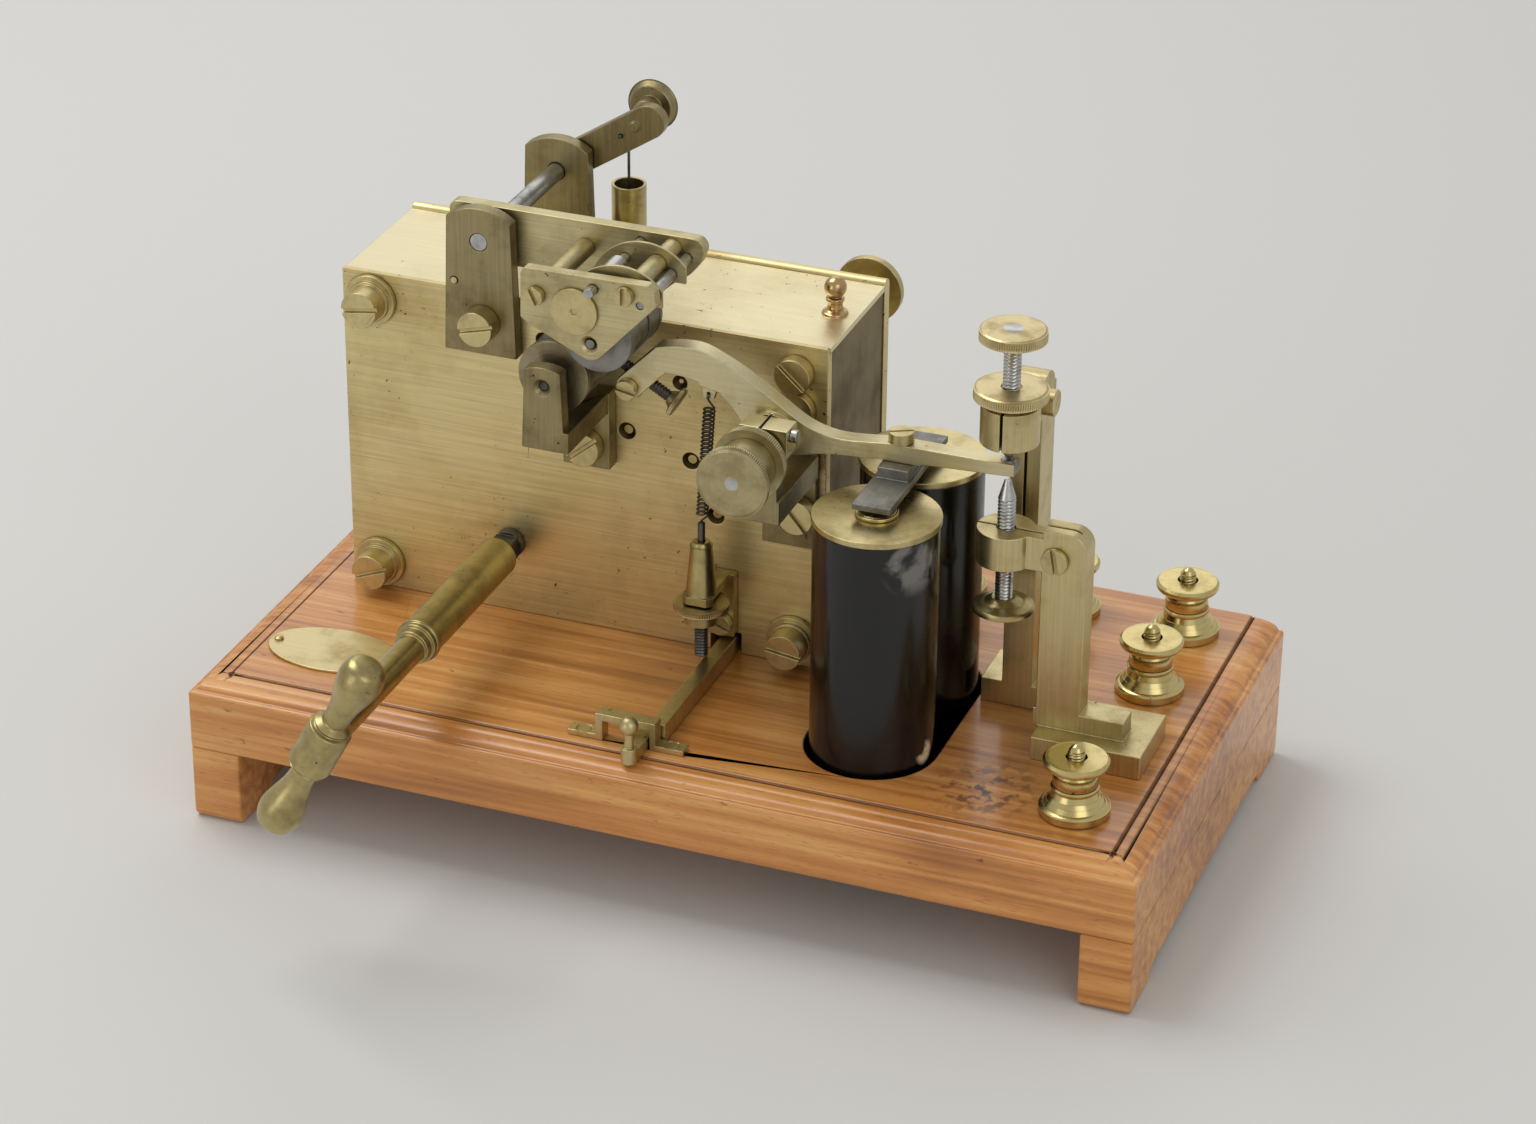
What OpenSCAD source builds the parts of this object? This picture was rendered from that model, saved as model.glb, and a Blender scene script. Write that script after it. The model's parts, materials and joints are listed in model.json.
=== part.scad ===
// Clockwork Morse tape register that embosses dots and dashes with a stylus.
// Millimetres. The drawing frame has x from the base's left end, y from its front
// edge and z from the table; place() moves it to the centre of the whole part.

/* [Base] */
// Length of the base board
base_l = 320; // [300:1:360]
// Depth of the base board
base_w = 172; // [168:1:200]
// Thickness of the base board
base_t = 24.4; // [22:0.2:30]
// Height of the battens under the board
batten_h = 26.4; // [24:0.2:34]
// Width of each batten
batten_w = 17; // [12:0.5:26]
// Length of each foot at a batten's ends
foot_l = 25; // [15:1:40]
// Relief between the feet
foot_relief = 4.5; // [2:0.5:8]
// Width of the moulding round the board's edge
mould_w = 10.5; // [6:0.5:14]
// Height of the moulding
mould_h = 3.6; // [2:0.2:6]
// Width of the oval plate
oval_w = 45; // [36:1:54]
// Depth of the oval plate
oval_d = 27; // [20:1:32]
// Thickness of the oval plate
oval_t = 1; // [0.6:0.2:2]

/* [Case] */
// Left end of the case
case_x = 19.9; // [18:0.1:24]
// Front face of the case
case_y = 83.4; // [83:0.1:84]
// Length of the case
case_l = 168.6; // [166:0.1:172]
// Depth of the case between its outer faces
case_w = 58; // [57:0.5:62]
// Height of the case
case_h = 115.2; // [112:0.2:120]
// Thickness of the front plate
front_t = 4; // [3.5:0.1:5]
// Thickness of the rear plate
rear_t = 4.6; // [4:0.1:6]
// Thickness of the end plates
end_t = 2.5; // [2:0.1:4]
// Thickness of the lid
lid_t = 2; // [1.5:0.1:2.4]
// Travel of the sliding lid
lid_travel = 55; // [30:1:56]
// Radius of the case pillars
pillar_r = 4.5; // [4:0.1:5]
// Distance of the pillars from the case's ends
pillar_in = 10.4; // [9:0.1:12]
// Distance of the pillars from the case's top and bottom
pillar_up = 9.4; // [8:0.1:11]

/* [Clockwork] */
// Radius of the winding arbor in the front plate
wind_r = 4; // [3.5:0.1:4.5]
// Width across the winding square
square_w = 7.5; // [6.5:0.1:8]
// Radius of the wheel arbors
arbor_r = 2; // [1.6:0.1:2.2]
// Radius of the pivots in the plates
pivot_r = 1.5; // [1.2:0.1:1.6]
// Teeth of the great wheel
great_teeth = 56; // [56]
// Module of the great wheel
great_mod = 0.875; // [0.87:0.001:0.88]
// Thickness of the wheels
wheel_t = 2; // [1.5:0.1:2.4]
// Radius of the mainspring barrel
barrel_r = 21; // [19:0.5:22]
// Radius of the fly's vanes
fly_r = 14; // [10:0.5:15]

/* [Key] */
// Radius of the key's socket tube
socket_r = 6.85; // [6.4:0.05:7.5]
// Length of the socket tube
socket_l = 64; // [50:1:70]
// Radius of the key's shaft
shaft_r = 4.75; // [4:0.05:5.5]
// Distance of the handle in front of the board's front edge
handle_out = 60; // [50:1:80]
// Length of the handle
handle_l = 73; // [60:1:80]
// Angle of the handle at rest
handle_angle = 61; // [0:1:180]

/* [Tape feed] */
// Height of the pressure frame's pivot over the case
pivot_up = 19.2; // [18:0.1:22]
// Radius of the pressure shaft
press_r = 3; // [2.6:0.1:3.3]
// Radius of the feed roller's flange
feed_r = 12; // [11:0.1:12.2]
// Gap between the two rollers
nip = 0.3; // [0.3:0.1:0.8]
// Opening angle of the pressure frame
frame_open = 20; // [10:1:25]
// Outer radius of the spring tube
tube_r = 5.85; // [5.5:0.05:6.5]
// Wire of the pressure spring
press_wire = 1; // [0.8:0.1:1.2]
// Curls of the pressure spring
press_curls = 12; // [8:1:14]

/* [Writing lever] */
// Thickness of the lever
lever_t = 6.3; // [5:0.1:7]
// Middle plane of the lever
lever_y = 66.2; // [66:0.1:66.4]
// Radius of the lever's arbor
lever_arbor_r = 2.25; // [2:0.05:2.5]
// Radius of the stylus
stylus_r = 2; // [1.4:0.05:2.1]
// Wire of the tension spring
tension_wire = 0.7; // [0.5:0.05:0.8]
// Outer radius of the tension spring
tension_r = 2.1; // [1.9:0.1:2.4]
// Curls of the tension spring
tension_curls = 27; // [20:1:28]

/* [Magnet] */
// Place of the coils along the board
coil_x = 219.3; // [219:0.1:221]
// Front coil's axis
coil_y1 = 44.5; // [44:0.1:46]
// Rear coil's axis
coil_y2 = 88; // [87:0.1:89]
// Radius of the bobbins' cheeks
cheek_r = 20.4; // [18:0.1:21]
// Thickness of the bobbins' cheeks
cheek_t = 2; // [1.5:0.1:3]
// Thickness of the yoke under the board
yoke_t = 6; // [4:0.5:8]
// Radius of the iron cores
core_r = 5.9; // [5:0.1:6.4]
// Gap between the cores and the armature
pole_gap = 1.4; // [1.3:0.1:2]

/* [Contacts] */
// Axis of the contact screws along the board
contact_x = 254.3; // [254:0.1:255]
// Radius of the contact screws
contact_r = 2.9; // [2.5:0.1:3.2]
// Gap of the lower contact
lower_gap = 1.6; // [1.5:0.1:2]
// Gap of the upper contact
upper_gap = 0.3; // [0.3:0.1:0.6]

/* [Terminals] */
// Radius of a terminal's flange
terminal_r = 11.25; // [9:0.05:11.5]
// Height of a terminal's post
terminal_h = 13.4; // [11:0.2:16]
// Radius of a terminal's thumb nut
nut_r = 10.5; // [8:0.1:11]
// Radius of a terminal's stud
stud_r = 2.8; // [2:0.1:3]

/* [Stop lever] */
// Width of the stop lever
stop_w = 5; // [4:0.1:5.4]
// Radius of the stop lever's ball
ball_r = 3.1; // [2.5:0.1:4]

/* [Hidden] */
$fn = 48;
e = 0.01;
fit = 0.05;
clear = 0.3;
z_board = batten_h + base_t;
case_top = z_board + case_h;
case_end = case_x + case_l;
case_back = case_y + case_w;
in_front = case_y + front_t;
in_back = case_back - rear_t;
lid_z = case_top - 0.4 - lid_t;
lip = 2;
lid_y0 = case_y + lip + clear;
lid_y1 = in_back - clear;

// Axes along y are [x, z] pairs
wind = [case_x + 58.4, z_board + 25.9];
centre = wind + [41.7, 48.4];
third = centre + [22.2, -6.7];
fly_at = third + [8.7, -18.2];
feed = [case_x + 86.9, case_top - 11.2];
emboss = feed + [16.3, 17.8];
pivot = [case_x + 51.1, case_top + pivot_up];
lever = [case_x + 158.1, case_top - 22.5];
stop = [case_x + 136.3, case_y + 26.6];
pillar_at = [
    for (x = [case_x + pillar_in, case_end - pillar_in])
        for (z = [z_board + pillar_up, case_top - pillar_up]) [x, z]
];

// Wheel work: teeth, modules and the planes of the wheels
pinion_great = 16;
second_teeth = 64;
second_mod = 0.76;
centre_pinion = 22;
feed_mod = 0.75;
feed_drive = 48;
idler_teeth = 26;
feed_teeth = 18;
third_drive = 60;
third_pinion = 12;
fly_drive = 60;
fly_pinion = 10;
third_mod = 2 * norm(third - centre) / (third_drive + third_pinion);
fly_mod = 2 * norm(fly_at - third) / (fly_drive + fly_pinion);
great_y = in_front + 1.6;
feed_y = in_front + 2.1;
third_y = in_front + 9.6;
fly_y = in_front + 17;
vane_y = in_front + 21;
vane_l = 10;
brake_y = in_front + 34;
second_y = in_back - 9.8;
ratchet_y = in_back - 6.3;
barrel_y0 = great_y + wheel_t;
barrel_y1 = second_y - 3;
second = crossing(wind, centre, pitch_r(great_teeth, great_mod) + pitch_r(pinion_great, great_mod),
    pitch_r(second_teeth, second_mod) + pitch_r(centre_pinion, second_mod), -1);
idler = crossing(centre, feed, pitch_r(feed_drive, feed_mod) + pitch_r(idler_teeth, feed_mod),
    pitch_r(idler_teeth, feed_mod) + pitch_r(feed_teeth, feed_mod), 1);
ratchet_teeth = 24;
ratchet_r = 10;

// Phases that put each pair of wheels in mesh at rest
second_phase = mesh(wind, 0, great_teeth, second, pinion_great);
centre_phase = mesh(second, 0, second_teeth, centre, centre_pinion);
idler_phase = mesh(centre, 0, feed_drive, idler, idler_teeth);
feed_phase = mesh(idler, idler_phase, idler_teeth, feed, feed_teeth);
third_phase = mesh(centre, 0, third_drive, third, third_pinion);
fly_phase = mesh(third, 0, fly_drive, fly_at, fly_pinion);

// Tape feed planes
arm_y0 = 46;
arm_y1 = 51;
feed_back = case_y - 1.2;
crown = 6.9;
base_y = case_y - 5.6;
bracket_y = case_y - 4.8;
flange_y0 = 55;
flange_t = 2;
head_y0 = 46;
head_y1 = 50;
long_y0 = case_y + 1.6;
long_y1 = long_y0 + 4.6;
roller_y0 = 52;
roller_y1 = 75;
tape_y = lever_y;
guide_at = emboss + [17, 16.1];
pillar_1 = emboss + [-17.6, 14.2];
pillar_2 = emboss + [12.3, 19];
pin_at = emboss + [1.5, 19.3];
disc_at = emboss + [-4.7, 10.9];
frame_pillar_r = 3.15;
cheek_y = [52.5, 72];
cheek_plate = 1;
arm_angle = 33;
arm_len = 36.5;
rear_arm_y = case_back + 5.4;
rear_arm_t = 4.2;
tube_at = [pivot[0] + 21, case_back + 12.1];
tube_top = case_top + 13.5;
tube_z = case_top - 40;
hook_z = pivot[1] + (tube_at[0] - pivot[0]) * tan(arm_angle);

// Writing lever
lever_y0 = lever_y - lever_t / 2;
lever_y1 = lever_y + lever_t / 2;
clamp_y0 = 51.3;
clamp_at = [clamp_y0 + 4, lever[1] + 5.3];
ear_y0 = 45;
ear_y1 = 50.5;
web_top = lever[1] - 13.5;
lever_base_y = case_y - 3;
lobe = lever + [-49, 7.9];
stylus_angle = 150.2;
stylus_head = lever + [-34.6, 4.8];
stylus_l = 21.9;
hook_at = lever + [-22.6, 9.6];
adjust = [case_x + 132.8, lever_y];
tension_lean = 0.062;
arm_z = z_board + 27.7;
arm_t = 3;
nut_z = arm_z - 3;
rod_top = arm_z + 28.3;
rod_bottom = z_board + 7.4;
rod_r = 2.3;
hook_r = 1.2;
rod_shoulder = arm_z + 16;
pad_z = lever[1] - 1.7;
armature_z = lever[1] - 7.5;
armature_t = 2.2;
core_top = armature_z - pole_gap;
bobbin_top = core_top - 1.6;
lever_end = 79.1;
lever_top = 4.4;
contact_at = [contact_x, lever_y];
anvil_top = lever[1] + lever_top + 0.5;
anvil_low = lever[1] - 0.5;
lower_tip = anvil_low - lower_gap;
upper_tip = anvil_top + upper_gap;
lower_boss = [lever[1] - 30, lever[1] - 18.5];
upper_boss = [lever[1] + 11, lever[1] + 23.8];
boss_r = 9.3;
tip_l = 3;
long_tip = 6.3;
cone_r = 1;
stand_x0 = contact_x + 13.2;
stand_x1 = stand_x0 + 14.5;
stand_y0 = lever_y - 4.4;
stand_y1 = lever_y + 4.6;
post_y0 = 84;
post_y1 = 97.5;
post_half = 5;
terminals = [[291, 29.5], [291, 110.8], [291, 152.5], [250, 152.5], [210, 152.5]];
oval_at = [35.2, 35.2];
screw_r = 2;
stop_z0 = z_board + 0.4;
stop_z1 = z_board + 6.8;
notch_top = z_board + 7.7;
ball_at = [case_x + 132.6, 5.5];
bridge = [137, 157.5, 14.8, 19.8];
bridge_z = z_board + 9.7;
bridge_t = 2.5;
tab_l = 9.5;
knob_at = [case_end - 7.8, 111];
slot_w = 1.4;
slot_d = 1.4;
yoke_screw_y = [coil_y1 - cheek_r - 6, coil_y2 + cheek_r + 6];
post_studs = [[contact_x + 38, 68.5], [contact_x, post_y0 + 10]];
oval_pin = 19.5;
sink_marks = [case_and_z(71, 13.6), case_and_z(118.5, 20.4)];
stop_notch_x = stop[0] - stop_w / 2 - 4.4;
feed_screw = feed + [1.4, -34];
bracket_screw = pivot + [1, -27.6];
bracket_crown_r = 18;
bracket_half = 11.2;
slot_turns = [-22, -9, 8];
steady_pin = pivot + [-8.8, -14.5];
lever_screw = lever + [2.9, -34.6];
tension_screw = [adjust[0] + 2, z_board + 12.9];
tube_screw = [tube_at[0], tube_z + 10];
stand_clamp = [stand_x0 + 4.5, lower_boss[0] + 5];
post_clamp = [lever_y + 15.8, upper_boss[0] + 7.5];
clamp_r = 1.6;
clamp_head_r = 4.3;
bearing_r = 6.9;
brake_r = 6;
hub_r = 7;
hub_half = 8;
grip_r = 7.25;
spring_sides = 6;
spring_steps = 8;

brass = "#c9b36a";
dull_brass = "#8f8152";
bright_brass = "#e6d9a0";
steel = "#9a9c9e";
dark_steel = "#5d5c5a";
wood = "#a5602c";
black = "#1b1a19";

// ---- functions -------------------------------------------------------------

function pitch_r(teeth, mod) = teeth * mod / 2;

function emboss_r() = norm(emboss - feed) - feed_r - nip;

// Point at distance ra from a and rb from b, on the chosen side of the line a-b
function crossing(a, b, ra, rb, side) =
    let (d = norm(b - a), u = (b - a) / d, s = (ra * ra - rb * rb + d * d) / (2 * d))
    a + s * u + side * sqrt(max(0, ra * ra - s * s)) * [-u[1], u[0]];

// Phase of wheel b that puts a gap of it where wheel a has a tooth
function mesh(a, phase, na, b, nb) =
    let (t = atan2(b[1] - a[1], b[0] - a[0]))
    t + 180 - 360 / nb * (0.5 - (t - phase) * na / 360);

function tooth_outline(teeth, mod, phase) = [
    for (i = [0 : teeth - 1])
        for (k = [[-0.30, -1], [-0.13, 1], [0.13, 1], [0.30, -1]])
            let (a = phase + (i + k[0]) * 360 / teeth, r = pitch_r(teeth, mod) + k[1] * 0.8 * mod)
            r * [cos(a), sin(a)]
];

function ratchet_outline() = [
    for (i = [0 : ratchet_teeth - 1])
        for (k = [[0, 1], [0.12, 0.84]])
            let (a = (i + k[0]) * 360 / ratchet_teeth)
            ratchet_r * k[1] * [cos(a), sin(a)]
];

function polar(a, r) = r * [cos(a), sin(a)];

function arc(at, r, a0, a1, n) = [for (i = [0 : n]) at + polar(a0 + (a1 - a0) * i / n, r)];

// Smooth curve through hand-set points
function curve(p, n) = [
    for (i = [0 : len(p) - 2])
        let (a = p[max(i - 1, 0)], b = p[i], c = p[i + 1], d = p[min(i + 2, len(p) - 1)])
        for (k = [0 : n - 1])
            let (t = k / n)
            0.5 * (2 * b + (c - a) * t + (2 * a - 5 * b + 4 * c - d) * t * t
                + (3 * b - a - 3 * c + d) * t * t * t)
];

// Path of a coil spring about z with straight ends on its axis
function spring_path(at, z0, z1, tail, r, turns, lean) = concat(
    [[at[0], at[1], z0], [at[0], at[1], z0 + tail]],
    [for (i = [0 : turns * spring_steps])
        let (a = 360 * i / spring_steps,
            rise = 2 * tail + (z1 - z0 - 4 * tail) * i / (turns * spring_steps))
        [at[0] + lean * rise + r * cos(a), at[1] + r * sin(a), z0 + rise]],
    [[at[0] + lean * (z1 - z0 - tail), at[1], z1 - tail]]
);

function unit(v) = v / max(norm(v), e * e);

function tangents(p) = [
    for (i = [0 : len(p) - 1]) unit(p[min(i + 1, len(p) - 1)] - p[max(i - 1, 0)])
];

// Normals carried along the path without twist
function normals(t) = [
    for (i = 0, n = [0, 1, 0]; i < len(t); i = i + 1,
        n = i < len(t) ? unit(n - (n * t[i]) * t[i]) : n) unit(n - (n * t[i]) * t[i])
];

function spring_gap(p, turns, wire) = min([
    for (i = [2 : turns * spring_steps + 2 - spring_steps])
        for (k = [spring_steps - 2 : spring_steps + 2])
            if (i + k < len(p) - 2) norm(p[i + k] - p[i])
]) - wire;

// ---- helpers ---------------------------------------------------------------

module place() {
    translate([-base_l / 2, (handle_out + grip_r - base_w) / 2, 0]) children();
}

// Outline in x and z made thick along y
module along_y(y0, y1) {
    translate([0, y1, 0]) rotate([90, 0, 0]) linear_extrude(y1 - y0) children();
}

module rod_y(at, y0, y1, r) {
    translate([at[0], y1, at[1]]) rotate([90, 0, 0]) cylinder(h = y1 - y0, r = r);
}

module cone_y(at, y0, y1, r0, r1) {
    translate([at[0], y0, at[1]]) rotate([-90, 0, 0]) cylinder(h = y1 - y0, r1 = r0, r2 = r1);
}

module rod_z(at, z0, z1, r) {
    translate([at[0], at[1], z0]) cylinder(h = z1 - z0, r = r);
}

module rod_x(at, x0, x1, r) {
    translate([x0, at[0], at[1]]) rotate([0, 90, 0]) cylinder(h = x1 - x0, r = r);
}

module along_z(z0, z1) {
    translate([0, 0, z0]) linear_extrude(z1 - z0) children();
}

module cone_z(at, z0, z1, r0, r1) {
    translate([at[0], at[1], z0]) cylinder(h = z1 - z0, r1 = r0, r2 = r1);
}

module block(x, y, z) {
    translate([x[0], y[0], z[0]]) cube([x[1] - x[0], y[1] - y[0], z[1] - z[0]]);
}

module disc(at, r) {
    translate(at) circle(r);
}

module bar(a, b, w) {
    t = atan2(b[1] - a[1], b[0] - a[0]);
    translate(a) rotate(t) translate([0, -w / 2]) square([norm(b - a), w]);
}

module wheel(at, teeth, mod, phase, y, t) {
    along_y(y, y + t) translate(at) polygon(tooth_outline(teeth, mod, phase));
}

// Screw whose head stands in front of the plane y = face
module screw_y(at, face, head_r, head_h, shank_r, shank_l, turn) {
    difference() {
        rod_y(at, face - head_h, face, head_r);
        translate([at[0], face - head_h, at[1]]) rotate([0, turn, 0])
            cube([3 * head_r, slot_d * 2, slot_w], center = true);
    }
    rod_y(at, face - e, face + shank_l, shank_r);
}

module mirror_back() {
    translate([0, case_y + case_back, 0]) mirror([0, 1, 0]) children();
}

module spring(p, wire) {
    t = tangents(p);
    n = normals(t);
    rings = [for (i = [0 : len(p) - 1])
        [for (k = [0 : spring_sides - 1])
            let (a = 360 * k / spring_sides, b = cross(t[i], n[i]))
            p[i] + wire / 2 * (cos(a) * n[i] + sin(a) * b)]];
    s = spring_sides;
    last = (len(p) - 1) * s;
    sides = [for (i = [0 : len(p) - 2])
        for (k = [0 : s - 1])
            let (a = i * s + k, b = i * s + (k + 1) % s)
            for (f = [[a, b + s, b], [a, a + s, b + s]]) f];
    caps = [for (k = [1 : s - 2])
        for (f = [[0, k, k + 1], [last, last + k + 1, last + k]]) f];
    polyhedron(points = [for (r = rings) for (q = r) q], faces = concat(sides, caps));
}

// ---- base ------------------------------------------------------------------

// Section of the board's moulded top edge, from the outer face inwards
function mould_points() = concat(
    [[0, 0]],
    [[0, base_t - mould_h - 1]],
    arc([1, base_t - mould_h - 1], 1, 180, 90, 3),
    [[2, base_t - mould_h]],
    [for (i = [0 : 6]) let (a = 90 * i / 6)
        [2 + (mould_w - 2) * (1 - cos(a)), base_t - mould_h + (mould_h - 0.5) * sin(a)]],
    [[mould_w, base_t - 0.9], [mould_w + 0.6, base_t - 0.9], [mould_w + 0.6, base_t]]
);

module board_blank() {
    edge = mould_points();
    flip = [for (i = [len(edge) - 1 : -1 : 0]) [base_l - edge[i][0], edge[i][1]]];
    intersection() {
        translate([0, base_w, batten_h]) rotate([90, 0, 0]) linear_extrude(base_w)
            polygon(concat(edge, flip));
        translate([0, 0, batten_h]) rotate([90, 0, 90]) linear_extrude(base_l)
            polygon(concat(edge, [[base_w, base_t], [base_w, 0]]));
    }
}

module board_screws(extra) {
    for (x = [batten_w / 2, base_l - batten_w / 2], y = [foot_l + 15, base_w - foot_l - 15])
        rod_z([x, y], foot_relief + 6, batten_h + 12, screw_r + extra);
    for (y = yoke_screw_y)
        rod_z([coil_x, y], batten_h - yoke_t, batten_h + 12, screw_r + extra);
    for (x = [case_x + pillar_in, case_end - pillar_in])
        rod_z([x, (in_front + in_back) / 2], batten_h + 3, z_board + pillar_up - 2, screw_r + extra);
    rod_z(stop, z_board - 12, stop_z1 + 1, screw_r + extra);
    for (x = [bridge[0] - tab_l / 2, bridge[1] + tab_l / 2])
        rod_z([x, (bridge[2] + bridge[3]) / 2], z_board - 10, z_board + 1, 1.2 + extra);
    for (p = post_studs)
        rod_z(p, z_board - 12, z_board + 5.5, screw_r + extra);
}

module base_board() {
    color(wood) place() difference() {
        board_blank();
        for (y = [coil_y1, coil_y2])
            rod_z([coil_x, y], batten_h - e, z_board + e, cheek_r + 1.1);
        block([coil_x - cheek_r - 1.1, coil_x + cheek_r + 1.1], [coil_y1, coil_y2],
            [batten_h - e, z_board + e]);
        board_screws(fit);
        for (x = [case_x + pillar_in, case_end - pillar_in])
            rod_z([x, (in_front + in_back) / 2], batten_h - e, batten_h + 3 + e, 4 + fit);
        for (p = terminals)
            rod_z(p, z_board - 12, z_board + e, stud_r + fit);
        for (s = [-1, 1])
            rod_z(oval_at + [s * oval_pin, 0], z_board - 6, z_board + e, 0.8 + fit);
    }
}

module battens() {
    color(wood) place() for (x = [0, base_l - batten_w]) difference() {
        translate([x, 0, 0]) rotate([90, 0, 90]) linear_extrude(batten_w)
            polygon(concat(
                [[0, batten_h]],
                arc([3, 3], 3, 180, 270, 5),
                [[foot_l - foot_relief, 0], [foot_l, foot_relief]],
                [[base_w - foot_l, foot_relief], [base_w - foot_l + foot_relief, 0]],
                arc([base_w - 3, 3], 3, 270, 360, 5),
                [[base_w, batten_h]]
            ));
        for (y = [foot_l + 15, base_w - foot_l - 15]) {
            rod_z([x + batten_w / 2, y], foot_relief + 6, batten_h + e, screw_r + fit);
            rod_z([x + batten_w / 2, y], foot_relief - e, foot_relief + 6 + e, 4 + fit);
        }
    }
}

module wood_screws() {
    color(steel) place() {
        board_screws(0);
        for (x = [batten_w / 2, base_l - batten_w / 2], y = [foot_l + 15, base_w - foot_l - 15])
            rod_z([x, y], foot_relief + 3, foot_relief + 6 + e, 4);
        for (y = yoke_screw_y)
            rod_z([coil_x, y], batten_h - yoke_t - 2, batten_h - yoke_t, 4);
        for (x = [case_x + pillar_in, case_end - pillar_in])
            rod_z([x, (in_front + in_back) / 2], batten_h + e, batten_h + 3 + e, 4);
        rod_z(stop, stop_z1 + 0.3, stop_z1 + 2.3, 4);
        for (x = [bridge[0] - tab_l / 2, bridge[1] + tab_l / 2])
            cone_z([x, (bridge[2] + bridge[3]) / 2], z_board + 0.6, z_board + 1.9, 1.2, 2.4);
    }
}

module name_plate() {
    color(dull_brass) place() {
        difference() {
            translate([oval_at[0], oval_at[1], z_board]) linear_extrude(oval_t)
                polygon([for (i = [0 : 59]) [oval_w / 2 * cos(6 * i), oval_d / 2 * sin(6 * i)]]);
            for (s = [-1, 1])
                rod_z(oval_at + [s * oval_pin, 0], z_board - e, z_board + oval_t + e, 0.8 + fit);
        }
        for (s = [-1, 1]) {
            rod_z(oval_at + [s * oval_pin, 0], z_board - 5, z_board + oval_t + 0.1, 0.8);
            rod_z(oval_at + [s * oval_pin, 0], z_board + oval_t + e, z_board + oval_t + 0.5, 1.3);
        }
    }
}

module lever_bridge() {
    tab_t = 2;
    color(dull_brass) place() difference() {
        union() {
            block([bridge[0], bridge[1]], [bridge[2], bridge[3]], [z_board, bridge_z]);
            block([bridge[0] - tab_l, bridge[0] + e], [bridge[2], bridge[3]], [z_board, z_board + tab_t]);
            block([bridge[1] - e, bridge[1] + tab_l], [bridge[2], bridge[3]], [z_board, z_board + tab_t]);
        }
        block([bridge[0] + bridge_t, bridge[1] - 2], [bridge[2] - 1, bridge[3] + 1],
            [z_board - 1, bridge_z - bridge_t]);
        for (x = [bridge[0] - tab_l / 2, bridge[1] + tab_l / 2]) {
            rod_z([x, (bridge[2] + bridge[3]) / 2], z_board - 1, z_board + tab_t + 1, 1.2 + fit);
            cone_z([x, (bridge[2] + bridge[3]) / 2], z_board + 0.6 - fit, z_board + tab_t + e,
                1.2 + fit, 2.5 + fit);
        }
    }
}

// ---- case ------------------------------------------------------------------

// Pivots that show as an oil sink in the front plate
function open_pivots() = [centre, third, fly_at];

module front_plate() {
    color(brass) place() difference() {
        block([case_x, case_end], [case_y, in_front], [z_board, case_top]);
        block([case_x - 1, case_end + 1], [case_y + lip, in_front + 1], [lid_z - 0.1, case_top + 1]);
        rod_y(wind, case_y - 1, in_front + 1, wind_r + fit);
        for (p = open_pivots()) {
            rod_y(p, case_y - 1, in_front + 1, pivot_r + fit);
            cone_y(p, case_y - e, case_y + 1.5, 3, pivot_r);
        }
        for (p = sink_marks)
            cone_y(p, case_y - e, case_y + 1.5, 2.6, 0.8);
        for (p = [second, idler])
            rod_y(p, in_front - 3, in_front + 1, pivot_r + fit);
        rod_y(feed, case_y - 1, in_front + 1, 2.5 + fit);
        for (p = pillar_at)
            rod_y(p, case_y - 1, in_front + 1, 2.5 + fit);
        for (s = plate_screws())
            rod_y(s[0], case_y - 1, in_front + 1, s[1] + fit);
        rod_y(lever, case_y - 1, in_front + 1, 3.5 + fit);
        block([stop_notch_x, stop[0] + stop_w / 2 + 1.2], [case_y - 1, in_front + 1],
            [z_board - 1, notch_top]);
    }
}

function case_and_z(x, down) = [case_x + x, case_top - down];

// Screws in the front plate: place, shank radius
function plate_screws() = [
    [feed_screw, screw_r], [bracket_screw, screw_r], [lever_screw, screw_r], [tension_screw, 1.5]
];

module rear_plate() {
    color(brass) place() difference() {
        union() {
            block([case_x, case_end], [in_back, case_back], [z_board, case_top + 1 - rear_t / 2]);
            translate([case_x, in_back + rear_t / 2, case_top + 1 - rear_t / 2]) rotate([0, 90, 0])
                cylinder(h = case_l, r = rear_t / 2);
        }
        rod_y(wind, in_back - 1, case_back + 1, 3 + fit);
        for (p = [centre, third, fly_at, feed])
            rod_y(p, in_back - 1, case_back + 1, pivot_r + fit);
        for (p = [second, idler])
            rod_y(p, in_back - 1, in_back + 3, pivot_r + fit);
        for (p = pillar_at)
            rod_y(p, in_back - 1, case_back + 1, 2.5 + fit);
        rod_y(bracket_screw, in_back - 1, case_back + 1, screw_r + fit);
        rod_y(tube_screw, in_back - 1, case_back + 1, 1.5 + fit);
        rod_y(click_at(), in_back - 1, in_back + 3, 1.5 + fit);
    }
}

module end_plates() {
    color(brass) place() for (x = [case_x + 0.5, case_end - 0.5 - end_t])
        block([x, x + end_t], [in_front, in_back], [z_board, lid_z - 0.1]);
}

module case_pillars() {
    color(brass) place() for (p = pillar_at) difference() {
        rod_y(p, in_front, in_back, pillar_r);
        rod_y(p, in_front - 1, in_front + 12, 2.5 + fit);
        rod_y(p, in_back - 12, in_back + 1, 2.5 + fit);
        if (p[1] < z_board + case_h / 2)
            rod_z([p[0], (in_front + in_back) / 2], p[1] - pillar_r - 1, p[1] - 1, screw_r + fit);
    }
}

module pillar_washers() {
    for (p = [pillar_at[0], pillar_at[1], pillar_at[2]]) difference() {
        union() {
            rod_y(p, case_y - 2, case_y, 8.75);
            rod_y(p, case_y - 3.2, case_y - 2 + e, 7);
        }
        rod_y(p, case_y - 4, case_y + 1, 2.5 + fit);
    }
}

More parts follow.
